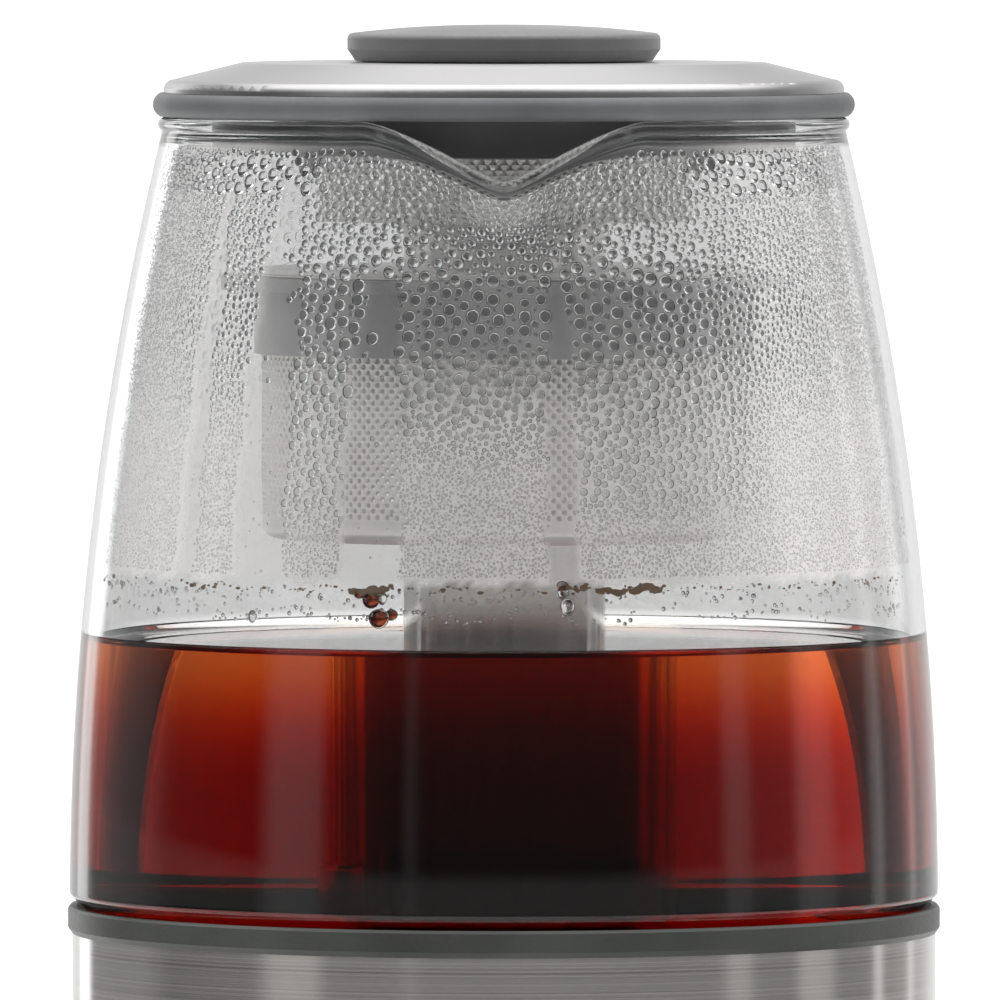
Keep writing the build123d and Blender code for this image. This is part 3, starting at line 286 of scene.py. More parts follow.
def scatter_drops(names, water, tries, low, high, span, seed, centre=0.0, scale=1.0):
    """Drops from large to small; the first name takes the large ones."""
    rng = random.Random(seed)
    field = DropField()
    groups = [([], []), ([], [])]
    for attempt in range(tries):
        share = attempt / tries
        angle = math.radians(centre + rng.uniform(-span, span))
        height = rng.uniform(low, high)
        usual = drop_size(angle - math.radians(centre), height) * scale
        if share < 0.12:
            radius = usual * rng.uniform(1.15, 1.5)
        elif share < 0.55:
            radius = usual * rng.uniform(0.8, 1.15)
        else:
            radius = usual * rng.uniform(0.45, 0.8)
        radius = min(radius, 1.25)
        kept = rng.random()
        track = 0.0 if centre else track_share(angle, height)
        if track > 0.25 and kept > 0.010:
            continue
        if not field.fits(angle * wall_radius(height, JUG_WALL), height, radius):
            continue
        big = radius > 0.42
        tall = radius * rng.uniform(0.68, 0.86) * (1.0 if radius > 0.3 else 0.6)
        stretch = 1.0 + (0.35 * rng.random() if radius > 0.7 or track else 0.08)
        verts, faces = groups[0] if big else groups[1]
        add_drop(verts, faces, angle, height, radius, tall, stretch, 4 if big else 2, 12 if big else 7)
    for name, (verts, faces) in zip(names, groups):
        if faces:
            make_piece(name, verts, faces, [water], "kettle")


# ---- fog and residue on the glass ---------------------------------------------------------
def fog_painted_glow(angle):
    """How bright the fog's painted glow is here: painted shade makes it duller in front of the basket than at the
    sides.
    """
    degrees = math.degrees(angle)
    side = blend_step(22, 52, abs(degrees))
    back = blend_step(80, 115, abs(degrees))
    return 0.62 + side * (0.42 if degrees > 0 else 0.32) * (1 - back) - 0.2 * back


def fog_amount(angle, height, rng):
    """How thick the fog is on the glass here, 0 to 1."""
    degrees = math.degrees(angle)
    away = abs(degrees)
    amount = 0.30 + 0.62 * (1 - blend_step(86, 101, height))
    amount += 0.45 * blend_step(28, 55, away) * blend_step(86, 101, height)
    amount *= 1 - 0.45 * blend_step(118, 134, height) * (1 - blend_step(20, 60, away))
    amount *= 1 - 0.45 * track_share(angle, height)
    amount *= 1 - blend_step(134.5, 137, height)
    edge = SCUM_LEVEL + 0.9 + 0.5 * math.sin(degrees * 0.7) + 0.35 * math.sin(degrees * 2.3)
    edge -= (edge - TEA_LEVEL - 2.5) * blend_step(82, 96, away)
    amount *= 1 - 0.38 * blend_step(75, 115, away)
    amount *= blend_step(edge - 0.4, edge + 0.4, height)
    return amount * (0.9 + 0.2 * rng.random())


def build_fog(film):
    """A film just inside the drops.

    The colour attribute fog holds its thickness (red), the strength of its painted glow (green) and how far drops clear
    it (blue).
    """
    rng = random.Random(5)
    angles = [math.radians(-180 + 1.0 * i) for i in range(360)]
    levels = [TEA_LEVEL + 1.9 + 0.85 * i for i in range(104)]
    verts = [inner_point(a, h, 1.25) for h in levels for a in angles]
    fog = make_piece("fog_film", verts, grid_faces(len(levels), len(angles), True), [film], "kettle")
    layer = fog.data.color_attributes.new("fog", "FLOAT_COLOR", "POINT")
    for index, (height, angle) in enumerate((h, a) for h in levels for a in angles):
        amount = fog_amount(angle, height, rng)
        layer.data[index].color = (amount, fog_painted_glow(angle), 0.3 + 0.5 * blend_step(78, 92, height), 1.0)


def build_residue(stain, water, tea):
    """The tide mark of an earlier, fuller fill: dried specks, a thin wavy lip and a few hanging drops."""
    rng = random.Random(21)
    verts, faces = [], []
    for _ in range(1500):
        degrees = rng.uniform(-74, 74)
        heavy = max(blend_step(5.0, 1.5, abs(degrees + 19)), blend_step(8.0, 4.0, abs(degrees - 16)))
        if rng.random() > 0.16 + 0.84 * heavy:
            continue
        wave = 0.4 * math.sin(degrees * 0.7) + 0.25 * math.sin(degrees * 2.3)
        height = SCUM_LEVEL + wave + rng.gauss(0.0, 0.22)
        radius = (abs(rng.gauss(0.0, 0.22)) + 0.07) * (0.6 + 0.5 * heavy)
        wide = rng.uniform(0.9, 2.2)
        add_drop(verts, faces, math.radians(degrees), height, radius, radius * 0.3, 1.0, 2, 7, wide)
    make_piece("residue_specks", verts, faces, [stain], "kettle")
    verts, faces = [], []
    for _ in range(420):
        degrees = rng.uniform(-72, 72)
        height = rng.choice((54.4, 57.5)) + rng.gauss(0.0, 0.5) + 0.8 * math.sin(degrees * 0.35)
        radius = rng.uniform(0.14, 0.42)
        add_drop(verts, faces, math.radians(degrees), height, radius, radius * 0.5, 1.1, 2, 8)
    for degrees, height, radius in ((8.2, 58.6, 1.0), (8.8, 56.2, 1.25), (-17.0, 57.5, 0.9), (-37.0, 53.9, 0.9)):
        add_drop(verts, faces, math.radians(degrees), height, radius, radius * 0.6, 1.5, 4, 14)
    make_piece("residue_drops", verts, faces, [water], "kettle")
    verts, faces = [], []
    for degrees, height, radius in (
        (-18.6, 57.2, 1.3), (-17.4, 54.0, 1.5), (-15.6, 54.6, 0.9), (-20.4, 58.2, 0.8), (8.1, 59.6, 0.85),
    ):
        add_drop(verts, faces, math.radians(degrees), height, radius, radius * 0.55, 1.3, 4, 14, 1.25)
    make_piece("residue_tea_drops", verts, faces, [tea], "kettle")


# ---- perforated steel ---------------------------------------------------------------------
def hole_cell(verts, faces, place, u, v, width, tall, radius, depth):
    """One cell of perforated sheet: a rectangle with a round hole, and the hole's own wall."""
    start = len(verts)
    border = [(-0.5, -0.5), (0, -0.5), (0.5, -0.5), (0.5, 0), (0.5, 0.5), (0, 0.5), (-0.5, 0.5), (-0.5, 0)]
    for bu, bv in border:
        verts.append(place(u + bu * width, v + bv * tall, 0.0))
    for level in (0.0, depth):
        for k in range(8):
            a = math.radians(-135 + 45 * k)
            verts.append(place(u + radius * math.cos(a), v + radius * math.sin(a), level))
    for k in range(8):
        n = (k + 1) % 8
        faces.append((start + k, start + n, start + 8 + n, start + 8 + k))
        faces.append((start + 8 + k, start + 8 + n, start + 16 + n, start + 16 + k))


def lathe_into(verts, faces, profile, centre_y, sides):
    """Adds a surface of revolution about a vertical axis at x 0."""
    start = len(verts)
    for r, h in profile:
        for k in range(sides):
            a = 2 * math.pi * k / sides
            verts.append((r * math.sin(a), centre_y - r * math.cos(a), RING_TOP + h))
    for a, b, c, d in grid_faces(len(profile), sides, True):
        faces.append((start + a, start + b, start + c, start + d))


def build_basket(steel):
    def on_wall(u, v, inset):
        angle = u / BASKET_R
        radius = BASKET_R - inset
        return (radius * math.sin(angle), BASKET_Y - radius * math.cos(angle), RING_TOP + v)

    verts, faces = [], []
    columns = 140
    pitch = 2 * math.pi * BASKET_R / columns
    rows = 27
    tall = (HOLES_HIGH - HOLES_LOW) / rows
    for row in range(rows):
        for column in range(columns):
            u = (column + 0.5 * (row % 2)) * pitch
            hole_cell(verts, faces, on_wall, u, HOLES_LOW + (row + 0.5) * tall, pitch, tall, 0.48, 0.4)
    plain_top = [(BASKET_R, HOLES_HIGH), (BASKET_R, 104), (BASKET_R, CUP_TOP), (BASKET_R + 1.6, CUP_TOP + 0.05)]
    plain_top += [(BASKET_R + 1.8, CUP_TOP + 0.3), (BASKET_R + 1.5, CUP_TOP + 0.5), (BASKET_R - 0.5, CUP_TOP + 0.5)]
    plain_top += [(BASKET_R - 0.5, 104), (BASKET_R - 0.5, HOLES_HIGH)]
    lathe_into(verts, faces, plain_top, BASKET_Y, 140)
    bend = [(BASKET_R, HOLES_LOW), (BASKET_R, CUP_LOW + 2.5)]
    bend += [
        (BASKET_R - 2.5 + 2.5 * math.cos(math.radians(a)), CUP_LOW + 2.5 - 2.5 * math.sin(math.radians(a)))
        for a in (20, 40, 60, 80, 90)
    ]
    bend.append((38.4, CUP_LOW))
    lathe_into(verts, faces, bend, BASKET_Y, 140)
    for ring in range(9):
        middle = 38.4 - 2.1 - ring * 4.2
        count = max(int(2 * math.pi * middle / 4.2), 6)

        def on_floor(u, v, inset, middle=middle):
            angle = u / middle
            return (v * math.sin(angle), BASKET_Y - v * math.cos(angle), RING_TOP + CUP_LOW + inset)

        for k in range(count):
            step = 2 * math.pi * middle / count
            hole_cell(verts, faces, on_floor, (k + 0.5 * (ring % 2)) * step, middle, step, 4.2, 0.9, 0.4)
    lathe_into(verts, faces, [(0.65, CUP_LOW), (0.01, CUP_LOW)], BASKET_Y, 24)
    basket = make_piece("infuser_mesh", verts, faces, [steel], "infuser")
    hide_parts("infuser_basket")


def build_strainer(steel):
    def on_arc(u, v, inset):
        angle = u / STRAINER_R
        radius = STRAINER_R - inset
        return (radius * math.sin(angle), -radius * math.cos(angle), RING_TOP + v)

    verts, faces = [], []
    half = math.radians(40) * STRAINER_R
    columns = 36
    pitch = 2 * half / columns
    rows = 11
    low, high = STRAINER_LOW + 0.9, 133.3
    tall = (high - low) / rows
    for row in range(rows):
        for column in range(columns - row % 2):
            u = -half + (column + 0.5 + 0.5 * (row % 2)) * pitch
            hole_cell(verts, faces, on_arc, u, low + (row + 0.5) * tall, pitch, tall, 0.48, 0.4)
    for bottom, top in ((STRAINER_LOW, low), (high, STRAINER_TOP)):
        start = len(verts)
        for v in (bottom, top):
            for column in range(37):
                verts.append(on_arc(-half + column * pitch, v, 0.0))
        faces += [tuple(start + i for i in f) for f in grid_faces(2, 37, False)]
    strainer = make_piece("strainer_mesh", verts, faces, [steel], "lid")
    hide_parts("lid_strainer")


# ---- materials ----------------------------------------------------------------------------
class Shader:
    """Short names for building one material's nodes."""

    def __init__(self, name):
        self.material = bpy.data.materials.new(name)
        self.material.use_nodes = True
        self.tree = self.material.node_tree
        self.tree.nodes.clear()
        self.out = self.tree.nodes.new("ShaderNodeOutputMaterial")

    def node(self, kind, **inputs):
        made = self.tree.nodes.new(kind)
        for key, value in inputs.items():
            made.inputs[key.replace("_", " ")].default_value = value
        return made

    def link(self, source, target):
        self.tree.links.new(source, target)

    def coords(self, scale, source="Object"):
        """Object coordinates, stretched by a scale along each axis."""
        texture = self.node("ShaderNodeTexCoord")
        mapping = self.node("ShaderNodeMapping", Scale=scale)
        self.link(texture.outputs[source], mapping.inputs["Vector"])
        return mapping.outputs["Vector"]

    def noise(self, vector, size, detail=3.0, rough=0.55):
        made = self.node("ShaderNodeTexNoise", Scale=size, Detail=detail, Roughness=rough)
        self.link(vector, made.inputs["Vector"])
        return made.outputs["Fac"]

    def span(self, value, low, high):
        """Maps a 0 to 1 value onto a range."""
        made = self.node("ShaderNodeMapRange", To_Min=low, To_Max=high)
        self.link(value, made.inputs["Value"])
        return made.outputs["Result"]

    def ramp(self, value, stops):
        made = self.node("ShaderNodeValToRGB")
        bar = made.color_ramp
        while len(bar.elements) < len(stops):
            bar.elements.new(0.5)
        for element, (place, colour) in zip(bar.elements, stops):
            element.position = place
            element.color = tuple(colour) + (1.0,)
        self.link(value, made.inputs["Fac"])
        return made.outputs["Color"]

    def bump(self, value, strength, distance):
        made = self.node("ShaderNodeBump", Strength=strength, Distance=distance)
        self.link(value, made.inputs["Height"])
        return made.outputs["Normal"]


def plastic(name, dark, light, roughness, grain=900.0, bump=0.15, coat=0.0, behind_drink=False, edge=0.0):
    """Moulded plastic or rubber: fine grain, faint mottling, uneven gloss, edges softened by a radius.

    With behind_drink it lets light seen through the drink pass, as the real drink's haze would hide it.
    """
    s = Shader(name)
    wide = s.noise(s.coords((1, 1, 1)), 35.0, 4.0)
    fine = s.noise(s.coords((1, 1, 1)), grain, 2.0)
    body = s.node("ShaderNodeBsdfPrincipled")
    s.link(s.ramp(wide, [(0.3, dark), (0.7, light)]), body.inputs["Base Color"])
    s.link(s.span(fine, roughness - 0.08, roughness + 0.08), body.inputs["Roughness"])
    normal = s.bump(fine, bump, 0.0002)
    if edge:
        soft = s.node("ShaderNodeBevel", Radius=edge)
        s.link(soft.outputs[0], normal.node.inputs["Normal"])
    s.link(normal, body.inputs["Normal"])
    body.inputs["Coat Weight"].default_value = coat
    surface = body.outputs["BSDF"]
    if behind_drink:
        path = s.node("ShaderNodeLightPath")
        deep = s.node("ShaderNodeMath")
        deep.operation = "GREATER_THAN"
        deep.inputs[1].default_value = 5.5
        s.link(path.outputs["Transmission Depth"], deep.inputs[0])
        clear = s.node("ShaderNodeBsdfTransparent")
        either = s.node("ShaderNodeMixShader")
        s.link(deep.outputs[0], either.inputs["Fac"])
        s.link(surface, either.inputs[1])
        s.link(clear.outputs[0], either.inputs[2])
        surface = either.outputs[0]
    s.link(surface, s.out.inputs["Surface"])
    return s.material


def metal(name, dark, light, roughness, stretch=(1, 1, 1), size=60.0, bump=0.05, metallic=1.0):
    """Metal with a grain that runs along the axis with the smallest stretch."""
    s = Shader(name)
    grain = s.noise(s.coords(stretch), size, 4.0, 0.6)
    wide = s.noise(s.coords((1, 1, 1)), 12.0, 3.0)
    body = s.node("ShaderNodeBsdfPrincipled", Metallic=metallic)
    mix = s.node("ShaderNodeMath")
    mix.operation = "ADD"
    s.link(s.span(grain, -0.12, 0.62), mix.inputs[0])
    s.link(s.span(wide, 0.0, 0.5), mix.inputs[1])
    s.link(s.ramp(mix.outputs[0], [(0.2, dark), (0.85, light)]), body.inputs["Base Color"])
    s.link(s.span(grain, roughness - 0.07, roughness + 0.09), body.inputs["Roughness"])
    s.link(s.bump(grain, bump, 0.0001), body.inputs["Normal"])
    s.link(body.outputs["BSDF"], s.out.inputs["Surface"])
    return s.material


def radial_metal(name, dark, light, roughness, anisotropic=0.6):
    """Spun metal: the grain runs in circles round the vertical axis."""
    s = Shader(name)
    texture = s.node("ShaderNodeTexCoord")
    split = s.node("ShaderNodeSeparateXYZ")
    s.link(texture.outputs["Object"], split.inputs[0])
    flat = s.node("ShaderNodeCombineXYZ")
    s.link(split.outputs["X"], flat.inputs["X"])
    s.link(split.outputs["Y"], flat.inputs["Y"])
    length = s.node("ShaderNodeVectorMath")
    length.operation = "LENGTH"
    s.link(flat.outputs[0], length.inputs[0])
    along = s.node("ShaderNodeCombineXYZ")
    s.link(length.outputs["Value"], along.inputs["X"])
    s.link(split.outputs["Z"], along.inputs["Y"])
    grain = s.noise(along.outputs[0], 2600.0, 3.0, 0.7)
    wide = s.noise(s.coords((1, 1, 1)), 18.0, 2.0)
    body = s.node("ShaderNodeBsdfPrincipled", Metallic=1.0, Anisotropic=anisotropic)
    body.inputs["Anisotropic Rotation"].default_value = 0.25
    tangent = s.node("ShaderNodeTangent")
    tangent.direction_type = "RADIAL"
    tangent.axis = "Z"
    s.link(tangent.outputs[0], body.inputs["Tangent"])
    mix = s.node("ShaderNodeMath")
    mix.operation = "ADD"
    s.link(s.span(grain, 0.1, 0.6), mix.inputs[0])
    s.link(s.span(wide, 0.0, 0.35), mix.inputs[1])
    s.link(s.ramp(mix.outputs[0], [(0.25, dark), (0.85, light)]), body.inputs["Base Color"])
    s.link(s.span(grain, roughness - 0.06, roughness + 0.08), body.inputs["Roughness"])
    s.link(s.bump(grain, 0.12, 0.00005), body.inputs["Normal"])
    s.link(body.outputs["BSDF"], s.out.inputs["Surface"])
    return s.material


def clear_glass(name, tint, roughness=0.0):
    """Clear glass with slow ripples in its surface and a trace of colour."""
    s = Shader(name)
    ripple = s.noise(s.coords((1, 1, 0.35)), 14.0, 2.0)
    body = s.node("ShaderNodeBsdfGlass", IOR=1.47, Roughness=roughness)
    s.link(s.ramp(ripple, [(0.2, tint), (0.8, (1, 1, 1))]), body.inputs["Color"])
    s.link(s.bump(ripple, 0.06, 0.0006), body.inputs["Normal"])
    s.link(body.outputs["BSDF"], s.out.inputs["Surface"])
    return s.material


def liquid(name, colour, weak, strong, ior, tint=(1, 1, 1)):
    """Water, or a drink that absorbs light, weaker near its surface than lower down; the weaker top is painted light,
    standing in for light that enters through the surface.
    """
    s = Shader(name)
    ripple = s.noise(s.coords((1, 1, 1)), 30.0, 2.0)
    body = s.node("ShaderNodeBsdfGlass", IOR=ior, Roughness=0.0)
    s.link(s.ramp(ripple, [(0.2, tint), (0.8, tuple(min(t + 0.02, 1.0) for t in tint))]), body.inputs["Color"])
    s.link(body.outputs["BSDF"], s.out.inputs["Surface"])
    s.link(s.bump(ripple, 0.03, 0.0004), body.inputs["Normal"])
    if colour:
        volume = s.node("ShaderNodeVolumeAbsorption", Color=colour + (1.0,))
        texture = s.node("ShaderNodeTexCoord")
        split = s.node("ShaderNodeSeparateXYZ")
        s.link(texture.outputs["Object"], split.inputs[0])
        # Painted light: the drink absorbs less towards its surface, so its upper part looks brighter and more orange,
        # as if lit through the top.
        layer = s.node("ShaderNodeMapRange", From_Min=0.108, From_Max=0.134, To_Min=strong, To_Max=weak)
        layer.interpolation_type = "SMOOTHSTEP"
        s.link(split.outputs["Z"], layer.inputs["Value"])
        s.link(layer.outputs["Result"], volume.inputs["Density"])
        s.link(volume.outputs["Volume"], s.out.inputs["Volume"])
    return s.material


def fog_film(name):
    """Fog on the glass: a thin, grainy and patchy film. It is thin where the light has come through a drop."""
    s = Shader(name)
    amount = s.node("ShaderNodeAttribute")
    amount.attribute_name = "fog"
    wide = s.noise(s.coords((1, 1, 0.5)), 60.0, 4.0)
    grain = s.noise(s.coords((1, 1, 1)), 2600.0, 2.0, 0.7)
    share = s.node("ShaderNodeMath")
    share.operation = "MULTIPLY"
    parts = s.node("ShaderNodeSeparateColor")
    s.link(amount.outputs["Color"], parts.inputs[0])
    s.link(parts.outputs[0], share.inputs[0])
    s.link(s.span(wide, 0.75, 1.15), share.inputs[1])
    speckle = s.node("ShaderNodeMath")
    speckle.operation = "MULTIPLY"
    speckle.use_clamp = True
    s.link(share.outputs[0], speckle.inputs[0])
    s.link(s.span(grain, 0.65, 1.3), speckle.inputs[1])
    path = s.node("ShaderNodeLightPath")
    bead = s.node("ShaderNodeMapRange", From_Min=2.4, From_Max=2.6, To_Min=0.0, To_Max=1.0)
    s.link(path.outputs["Transmission Depth"], bead.inputs["Value"])
    cut = s.node("ShaderNodeMath")
    cut.operation = "MULTIPLY"
    s.link(bead.outputs["Result"], cut.inputs[0])
    s.link(parts.outputs[2], cut.inputs[1])
    left = s.node("ShaderNodeMath")
    left.operation = "SUBTRACT"
    left.inputs[0].default_value = 1.0
    s.link(cut.outputs[0], left.inputs[1])
    cleared = s.node("ShaderNodeMath")
    cleared.operation = "MULTIPLY"
    s.link(speckle.outputs[0], cleared.inputs[0])
    s.link(left.outputs[0], cleared.inputs[1])
    clear = s.node("ShaderNodeBsdfTransparent")
    glow = s.node("ShaderNodeBsdfTranslucent", Color=(0.95, 0.94, 0.95, 1.0))
    # haze is an emission, not a lamp: a painted glow whose strength comes from the green channel, standing in for light
    # from behind scattered by the fog.
    haze = s.node("ShaderNodeEmission", Color=(1.0, 0.965, 0.955, 1.0))
    s.link(parts.outputs[1], haze.inputs["Strength"])
    both = s.node("ShaderNodeMixShader", Fac=0.8)
    s.link(glow.outputs[0], both.inputs[1])
    s.link(haze.outputs[0], both.inputs[2])
    blend = s.node("ShaderNodeMixShader")
    s.link(cleared.outputs[0], blend.inputs["Fac"])
    s.link(clear.outputs[0], blend.inputs[1])
    s.link(both.outputs[0], blend.inputs[2])
    s.link(blend.outputs[0], s.out.inputs["Surface"])
    return s.material


STEEL_DARK = (0.36, 0.35, 0.34)
STEEL_LIGHT = (0.72, 0.71, 0.70)
MATERIALS = {
    "glass": clear_glass("jug_glass_look", (0.975, 0.985, 0.985)),
    "dark_ring": plastic("ring_look", (0.034, 0.037, 0.033), (0.062, 0.066, 0.060), 0.40, 1400.0, 0.3),
    "shell_steel": radial_metal("shell_look", (0.48, 0.46, 0.44), (0.70, 0.68, 0.66), 0.17, 0.9),
    "cap_steel": radial_metal("cap_look", (0.44, 0.435, 0.44), (0.62, 0.61, 0.62), 0.36),
    "bright_steel": metal("bright_look", (0.70, 0.70, 0.69), (0.90, 0.88, 0.85), 0.12, (40, 40, 2), 10.0, 0.05, 0.85),
    "strainer_steel": metal("strainer_look", (0.42, 0.41, 0.40), (0.72, 0.71, 0.70), 0.33, (1, 1, 20), 40.0),
    "lid_steel": metal("basket_lid_look", (0.5, 0.49, 0.48), (0.75, 0.74, 0.73), 0.3, (30, 1, 1), 30.0),
    "screw_steel": metal("screw_look", (0.35, 0.35, 0.36), (0.65, 0.65, 0.66), 0.32, (1, 1, 30), 60.0),
    "motor_steel": metal("motor_look", (0.35, 0.35, 0.37), (0.6, 0.6, 0.62), 0.4, (1, 1, 12), 60.0),
    "element_metal": metal("element_look", (0.22, 0.2, 0.19), (0.5, 0.47, 0.44), 0.5, (1, 1, 1), 90.0, 0.2),
    "aluminium": metal("aluminium_look", (0.6, 0.61, 0.62), (0.85, 0.86, 0.87), 0.4, (20, 1, 1), 50.0),
    "brass": metal("brass_look", (0.62, 0.42, 0.16), (0.9, 0.7, 0.35), 0.3, (1, 1, 10), 60.0),
    "grey_silicone": plastic("gasket_look", (0.10, 0.105, 0.11), (0.17, 0.175, 0.18), 0.5, 1100.0, 0.2),
    "seal_silicone": plastic("seal_look", (0.42, 0.43, 0.43), (0.6, 0.61, 0.61), 0.6, 900.0, 0.15),
    "black_rubber": plastic("rubber_look", (0.018, 0.018, 0.018), (0.04, 0.04, 0.04), 0.65, 1500.0, 0.3),
    "knob_plastic": plastic("knob_look", (0.17, 0.17, 0.175), (0.25, 0.25, 0.255), 0.42, 1600.0, 0.25),
    "collar_plastic": plastic("collar_look", (0.19, 0.19, 0.195), (0.27, 0.27, 0.275), 0.38, 1300.0, 0.2),
    "plug_plastic": plastic("lid_plug_look", (0.09, 0.09, 0.092), (0.15, 0.15, 0.152), 0.38, 1200.0, 0.2),
    "handle_plastic": plastic(
        "handle_look", (0.030, 0.030, 0.032), (0.046, 0.046, 0.048), 0.5, 1500.0, 0.35, behind_drink=True
    ),
    "base_plastic": plastic("base_look", (0.026, 0.027, 0.028), (0.036, 0.037, 0.038), 0.42, 1500.0, 0.35, edge=0.0008),
    "connector_plastic": plastic("connector_look", (0.02, 0.02, 0.02), (0.05, 0.05, 0.05), 0.4),
    "gear_plastic": plastic("gear_look", (0.7, 0.69, 0.64), (0.88, 0.87, 0.83), 0.4),
    "magnet": metal("magnet_look", (0.4, 0.4, 0.42), (0.7, 0.7, 0.72), 0.25),
    "board_green": plastic("board_look", (0.02, 0.12, 0.05), (0.05, 0.22, 0.10), 0.4),
    "display_grey": plastic("display_look", (0.20, 0.26, 0.21), (0.34, 0.40, 0.34), 0.3),
    "lens": plastic("lens_look", (0.004, 0.005, 0.006), (0.010, 0.012, 0.014), 0.12, 200.0, 0.02),
    "button_plastic": plastic("button_look", (0.26, 0.26, 0.27), (0.34, 0.34, 0.35), 0.35, 1200.0, 0.15, edge=0.0005),
    "tea": liquid("tea_look", (0.84, 0.45, 0.05), 36.0, 98.0, 1.333),
    "water": liquid("water_look", None, 0.0, 0.0, 1.333, (0.95, 0.95, 0.95)),
}
FOG = fog_film("fog_look")
STAIN = plastic("stain_look", (0.22, 0.14, 0.09), (0.50, 0.37, 0.27), 0.35, 1800.0, 0.2)

for row in frame["record"]["subparts"]:
    node = NODES[row["node"]]
    node.data.materials.clear()
    node.data.materials.append(MATERIALS[row["material_slot"]])

build_jug(MATERIALS["glass"])
build_tea(MATERIALS["tea"])
build_basket(MATERIALS["strainer_steel"])
build_strainer(MATERIALS["strainer_steel"])
scatter_drops(("drops_large", "drops_small"), MATERIALS["water"], 90000, 61.0, 134.5, 78, 11)
scatter_drops(("back_drops", "back_drops_small"), MATERIALS["water"], 12000, 62, 134, 80, 12, 180, 1.6)
build_fog(FOG)
build_residue(STAIN, MATERIALS["water"], MATERIALS["tea"])


# ---- studio -------------------------------------------------------------------------------
def build_floor():
    mesh = bpy.data.meshes.new("floor")
    reach = 300.0
    mesh.from_pydata([(-reach, -reach, 0), (reach, -reach, 0), (reach, reach, 0), (-reach, reach, 0)], [], [(0, 1, 2, 3)])
    floor = bpy.data.objects.new("floor", mesh)
    bpy.context.scene.collection.objects.link(floor)
    s = Shader("floor_look")
    body = s.node("ShaderNodeBsdfDiffuse")
    texture = s.node("ShaderNodeTexCoord")
    split = s.node("ShaderNodeSeparateXYZ")
    s.link(texture.outputs["Object"], split.inputs[0])
    # Painted shade: the floor's colour falls to nearly black towards the camera, standing in for the dark front of the
    # studio.
    front_painted_shade = s.node("ShaderNodeMapRange", From_Min=-2.0, From_Max=-0.9, To_Min=0.04, To_Max=1.0)
    s.link(split.outputs["Y"], front_painted_shade.inputs["Value"])
    grain = s.noise(s.coords((1, 1, 1)), 220.0, 3.0)
    tone = s.node("ShaderNodeMath")
    tone.operation = "MULTIPLY"
    s.link(front_painted_shade.outputs["Result"], tone.inputs[0])
    s.link(s.span(grain, 0.915, 0.955), tone.inputs[1])
    s.link(tone.outputs[0], body.inputs["Color"])
    distance = s.node("ShaderNodeVectorMath")
    distance.operation = "LENGTH"
    s.link(texture.outputs["Object"], distance.inputs[0])
    far = s.node("ShaderNodeMapRange", From_Min=0.25, From_Max=0.8)
    s.link(distance.outputs["Value"], far.inputs["Value"])
    path = s.node("ShaderNodeLightPath")
    mirrored = s.node("ShaderNodeMath")
    mirrored.operation = "MULTIPLY"
    s.link(path.outputs["Is Glossy Ray"], mirrored.inputs[0])
    s.link(far.outputs["Result"], mirrored.inputs[1])
    clear = s.node("ShaderNodeBsdfTransparent")
    either = s.node("ShaderNodeMixShader")
    s.link(mirrored.outputs[0], either.inputs["Fac"])
    s.link(body.outputs["BSDF"], either.inputs[1])
    s.link(clear.outputs[0], either.inputs[2])
    s.link(either.outputs[0], s.out.inputs["Surface"])
    mesh.materials.append(s.material)


# strength of the studio's walls by direction, in degrees from the camera's side (towards +X positive)
WALLS = [
    (-180, 0.92), (-158, 0.95), (-155, 1.9), (-147, 1.8), (-144, 0.30), (-112, 0.22), (-100, 0.05), (-70, 0.03),
    (-64, 0.34), (-52, 0.32), (-48, 0.05), (-28, 0.05), (-25, 0.16), (-22, 0.05), (40, 0.05),
    (60, 0.08), (63, 0.34), (68, 0.34), (71, 0.10), (84, 0.12), (87, 0.45), (97, 0.42), (101, 0.16),
    (116, 0.22), (119, 1.10), (123, 0.30), (136, 0.45), (139, 1.10), (144, 0.60), (160, 0.92), (180, 0.92),
]
CEILING = 2.1


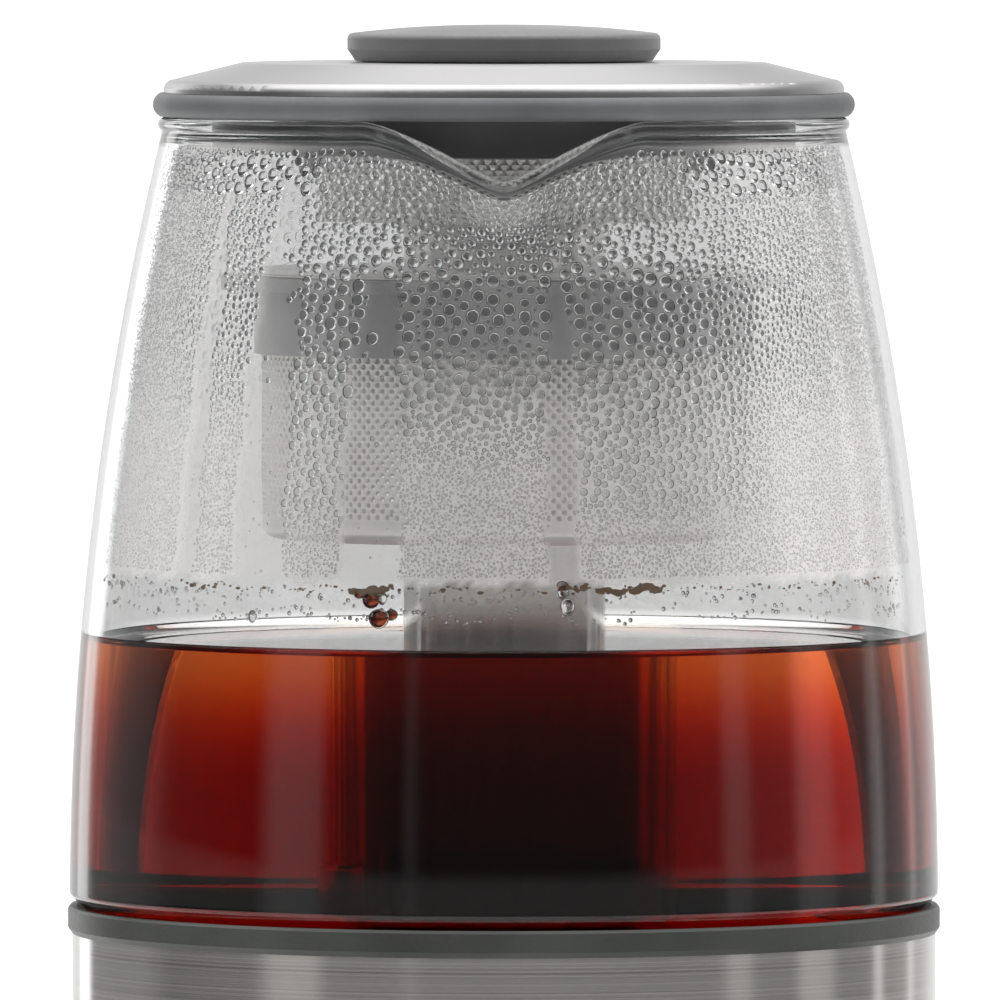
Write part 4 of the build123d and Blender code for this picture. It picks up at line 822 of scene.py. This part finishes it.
def build_world():
    """A dark side behind the camera, soft panels left and right, a bright back and a bright ceiling."""
    world = bpy.data.worlds.new("studio")
    bpy.context.scene.world = world
    world.use_nodes = True
    tree = world.node_tree
    tree.nodes.clear()
    out = tree.nodes.new("ShaderNodeOutputWorld")
    texture = tree.nodes.new("ShaderNodeTexCoord")
    split = tree.nodes.new("ShaderNodeSeparateXYZ")
    tree.links.new(texture.outputs["Generated"], split.inputs[0])

    def math_node(operation, first, second):
        made = tree.nodes.new("ShaderNodeMath")
        made.operation = operation
        for socket, value in zip(made.inputs, (first, second)):
            if isinstance(value, (int, float)):
                socket.default_value = value
            else:
                tree.links.new(value, socket)
        return made.outputs[0]

    def map_node(value, from_low, from_high, to_low, to_high):
        made = tree.nodes.new("ShaderNodeMapRange")
        made.interpolation_type = "SMOOTHSTEP"
        made.inputs["From Min"].default_value = from_low
        made.inputs["From Max"].default_value = from_high
        made.inputs["To Min"].default_value = to_low
        made.inputs["To Max"].default_value = to_high
        tree.links.new(value, made.inputs["Value"])
        return made.outputs["Result"]

    towards = math_node("MULTIPLY", split.outputs["Y"], -1.0)
    turn = math_node("ARCTAN2", split.outputs["X"], towards)
    place = math_node("ADD", math_node("MULTIPLY", turn, 0.5 / math.pi), 0.5)
    ramp = tree.nodes.new("ShaderNodeValToRGB")
    bar = ramp.color_ramp
    while len(bar.elements) < len(WALLS):
        bar.elements.new(0.5)
    for element, (degrees, strength) in zip(bar.elements, WALLS):
        element.position = (degrees + 180) / 360
        level = strength / CEILING
        element.color = (level, level, level, 1.0)
    tree.links.new(place, ramp.inputs["Fac"])
    wall = math_node("MULTIPLY", ramp.outputs["Color"], CEILING)
    wall = math_node("MULTIPLY", wall, map_node(split.outputs["Z"], 0.15, 0.5, 1.0, 0.68))
    across = math_node("ABSOLUTE", split.outputs["X"], 0.0)
    lifted = math_node("ADD", split.outputs["Z"], math_node("MULTIPLY", across, 0.35))
    overhead = map_node(lifted, 0.70, 0.90, 0.0, 1.0)
    path = tree.nodes.new("ShaderNodeLightPath")
    inside = math_node("GREATER_THAN", path.outputs["Transmission Depth"], 4.5)
    inside = math_node("MULTIPLY", inside, path.outputs["Is Glossy Ray"])
    sideways = map_node(across, 0.3, 0.7, 0.0, 1.0)
    streaks = tree.nodes.new("ShaderNodeTexNoise")
    streaks.inputs["Scale"].default_value = 3.2
    streaks.inputs["Detail"].default_value = 2.0
    streaks.inputs["Distortion"].default_value = 1.2
    tree.links.new(texture.outputs["Generated"], streaks.inputs["Vector"])
    flare = map_node(streaks.outputs["Fac"], 0.36, 0.66, 0.25, 1.5)
    sideways = math_node("MULTIPLY", sideways, flare)
    wall = math_node("MAXIMUM", wall, math_node("MULTIPLY", sideways, inside))
    behind = math_node("GREATER_THAN", path.outputs["Transmission Depth"], 3.5)
    behind = math_node("MULTIPLY", behind, path.outputs["Is Glossy Ray"])
    below = map_node(split.outputs["Z"], -0.035, -0.02, 0.42, 0.0)
    wall = math_node("MAXIMUM", wall, math_node("MULTIPLY", below, behind))
    kept = math_node("MULTIPLY", wall, math_node("SUBTRACT", 1.0, overhead))
    strength = math_node("ADD", kept, math_node("MULTIPLY", overhead, CEILING))
    seen = path.outputs["Is Camera Ray"]
    strength = math_node("MULTIPLY", strength, math_node("SUBTRACT", 1.0, seen))
    strength = math_node("ADD", strength, math_node("MULTIPLY", seen, 1.0))
    background = tree.nodes.new("ShaderNodeBackground")
    background.inputs["Color"].default_value = (1.0, 0.995, 0.99, 1.0)
    tree.links.new(strength, background.inputs["Strength"])
    tree.links.new(background.outputs[0], out.inputs["Surface"])


def add_softbox(name, place, size, power):
    light = bpy.data.lights.new(name, "AREA")
    light.shape = "RECTANGLE"
    light.size, light.size_y = size
    light.energy = power
    lamp = bpy.data.objects.new(name, light)
    lamp.location = place
    lamp.rotation_euler = (Vector((0, 0, 0.15)) - Vector(place)).to_track_quat("-Z", "Y").to_euler()
    lamp.visible_camera = False
    bpy.context.scene.collection.objects.link(lamp)


def build_camera():
    data = bpy.data.cameras.new("camera")
    data.sensor_width = 36.0
    data.lens = 633.6
    data.clip_end = 1000.0
    camera = bpy.data.objects.new("camera", data)
    camera.location = (-0.0007, -3.124, 0.2812)
    aim = Vector((-0.0007, 0.0, 0.1619))
    camera.rotation_euler = (aim - camera.location).to_track_quat("-Z", "Y").to_euler()
    bpy.context.scene.collection.objects.link(camera)
    bpy.context.scene.camera = camera


build_floor()
build_world()
add_softbox("softbox_top", (0.1, 0.5, 1.8), (1.4, 1.4), 6)
build_camera()
bpy.context.scene.view_settings.view_transform = "Standard"
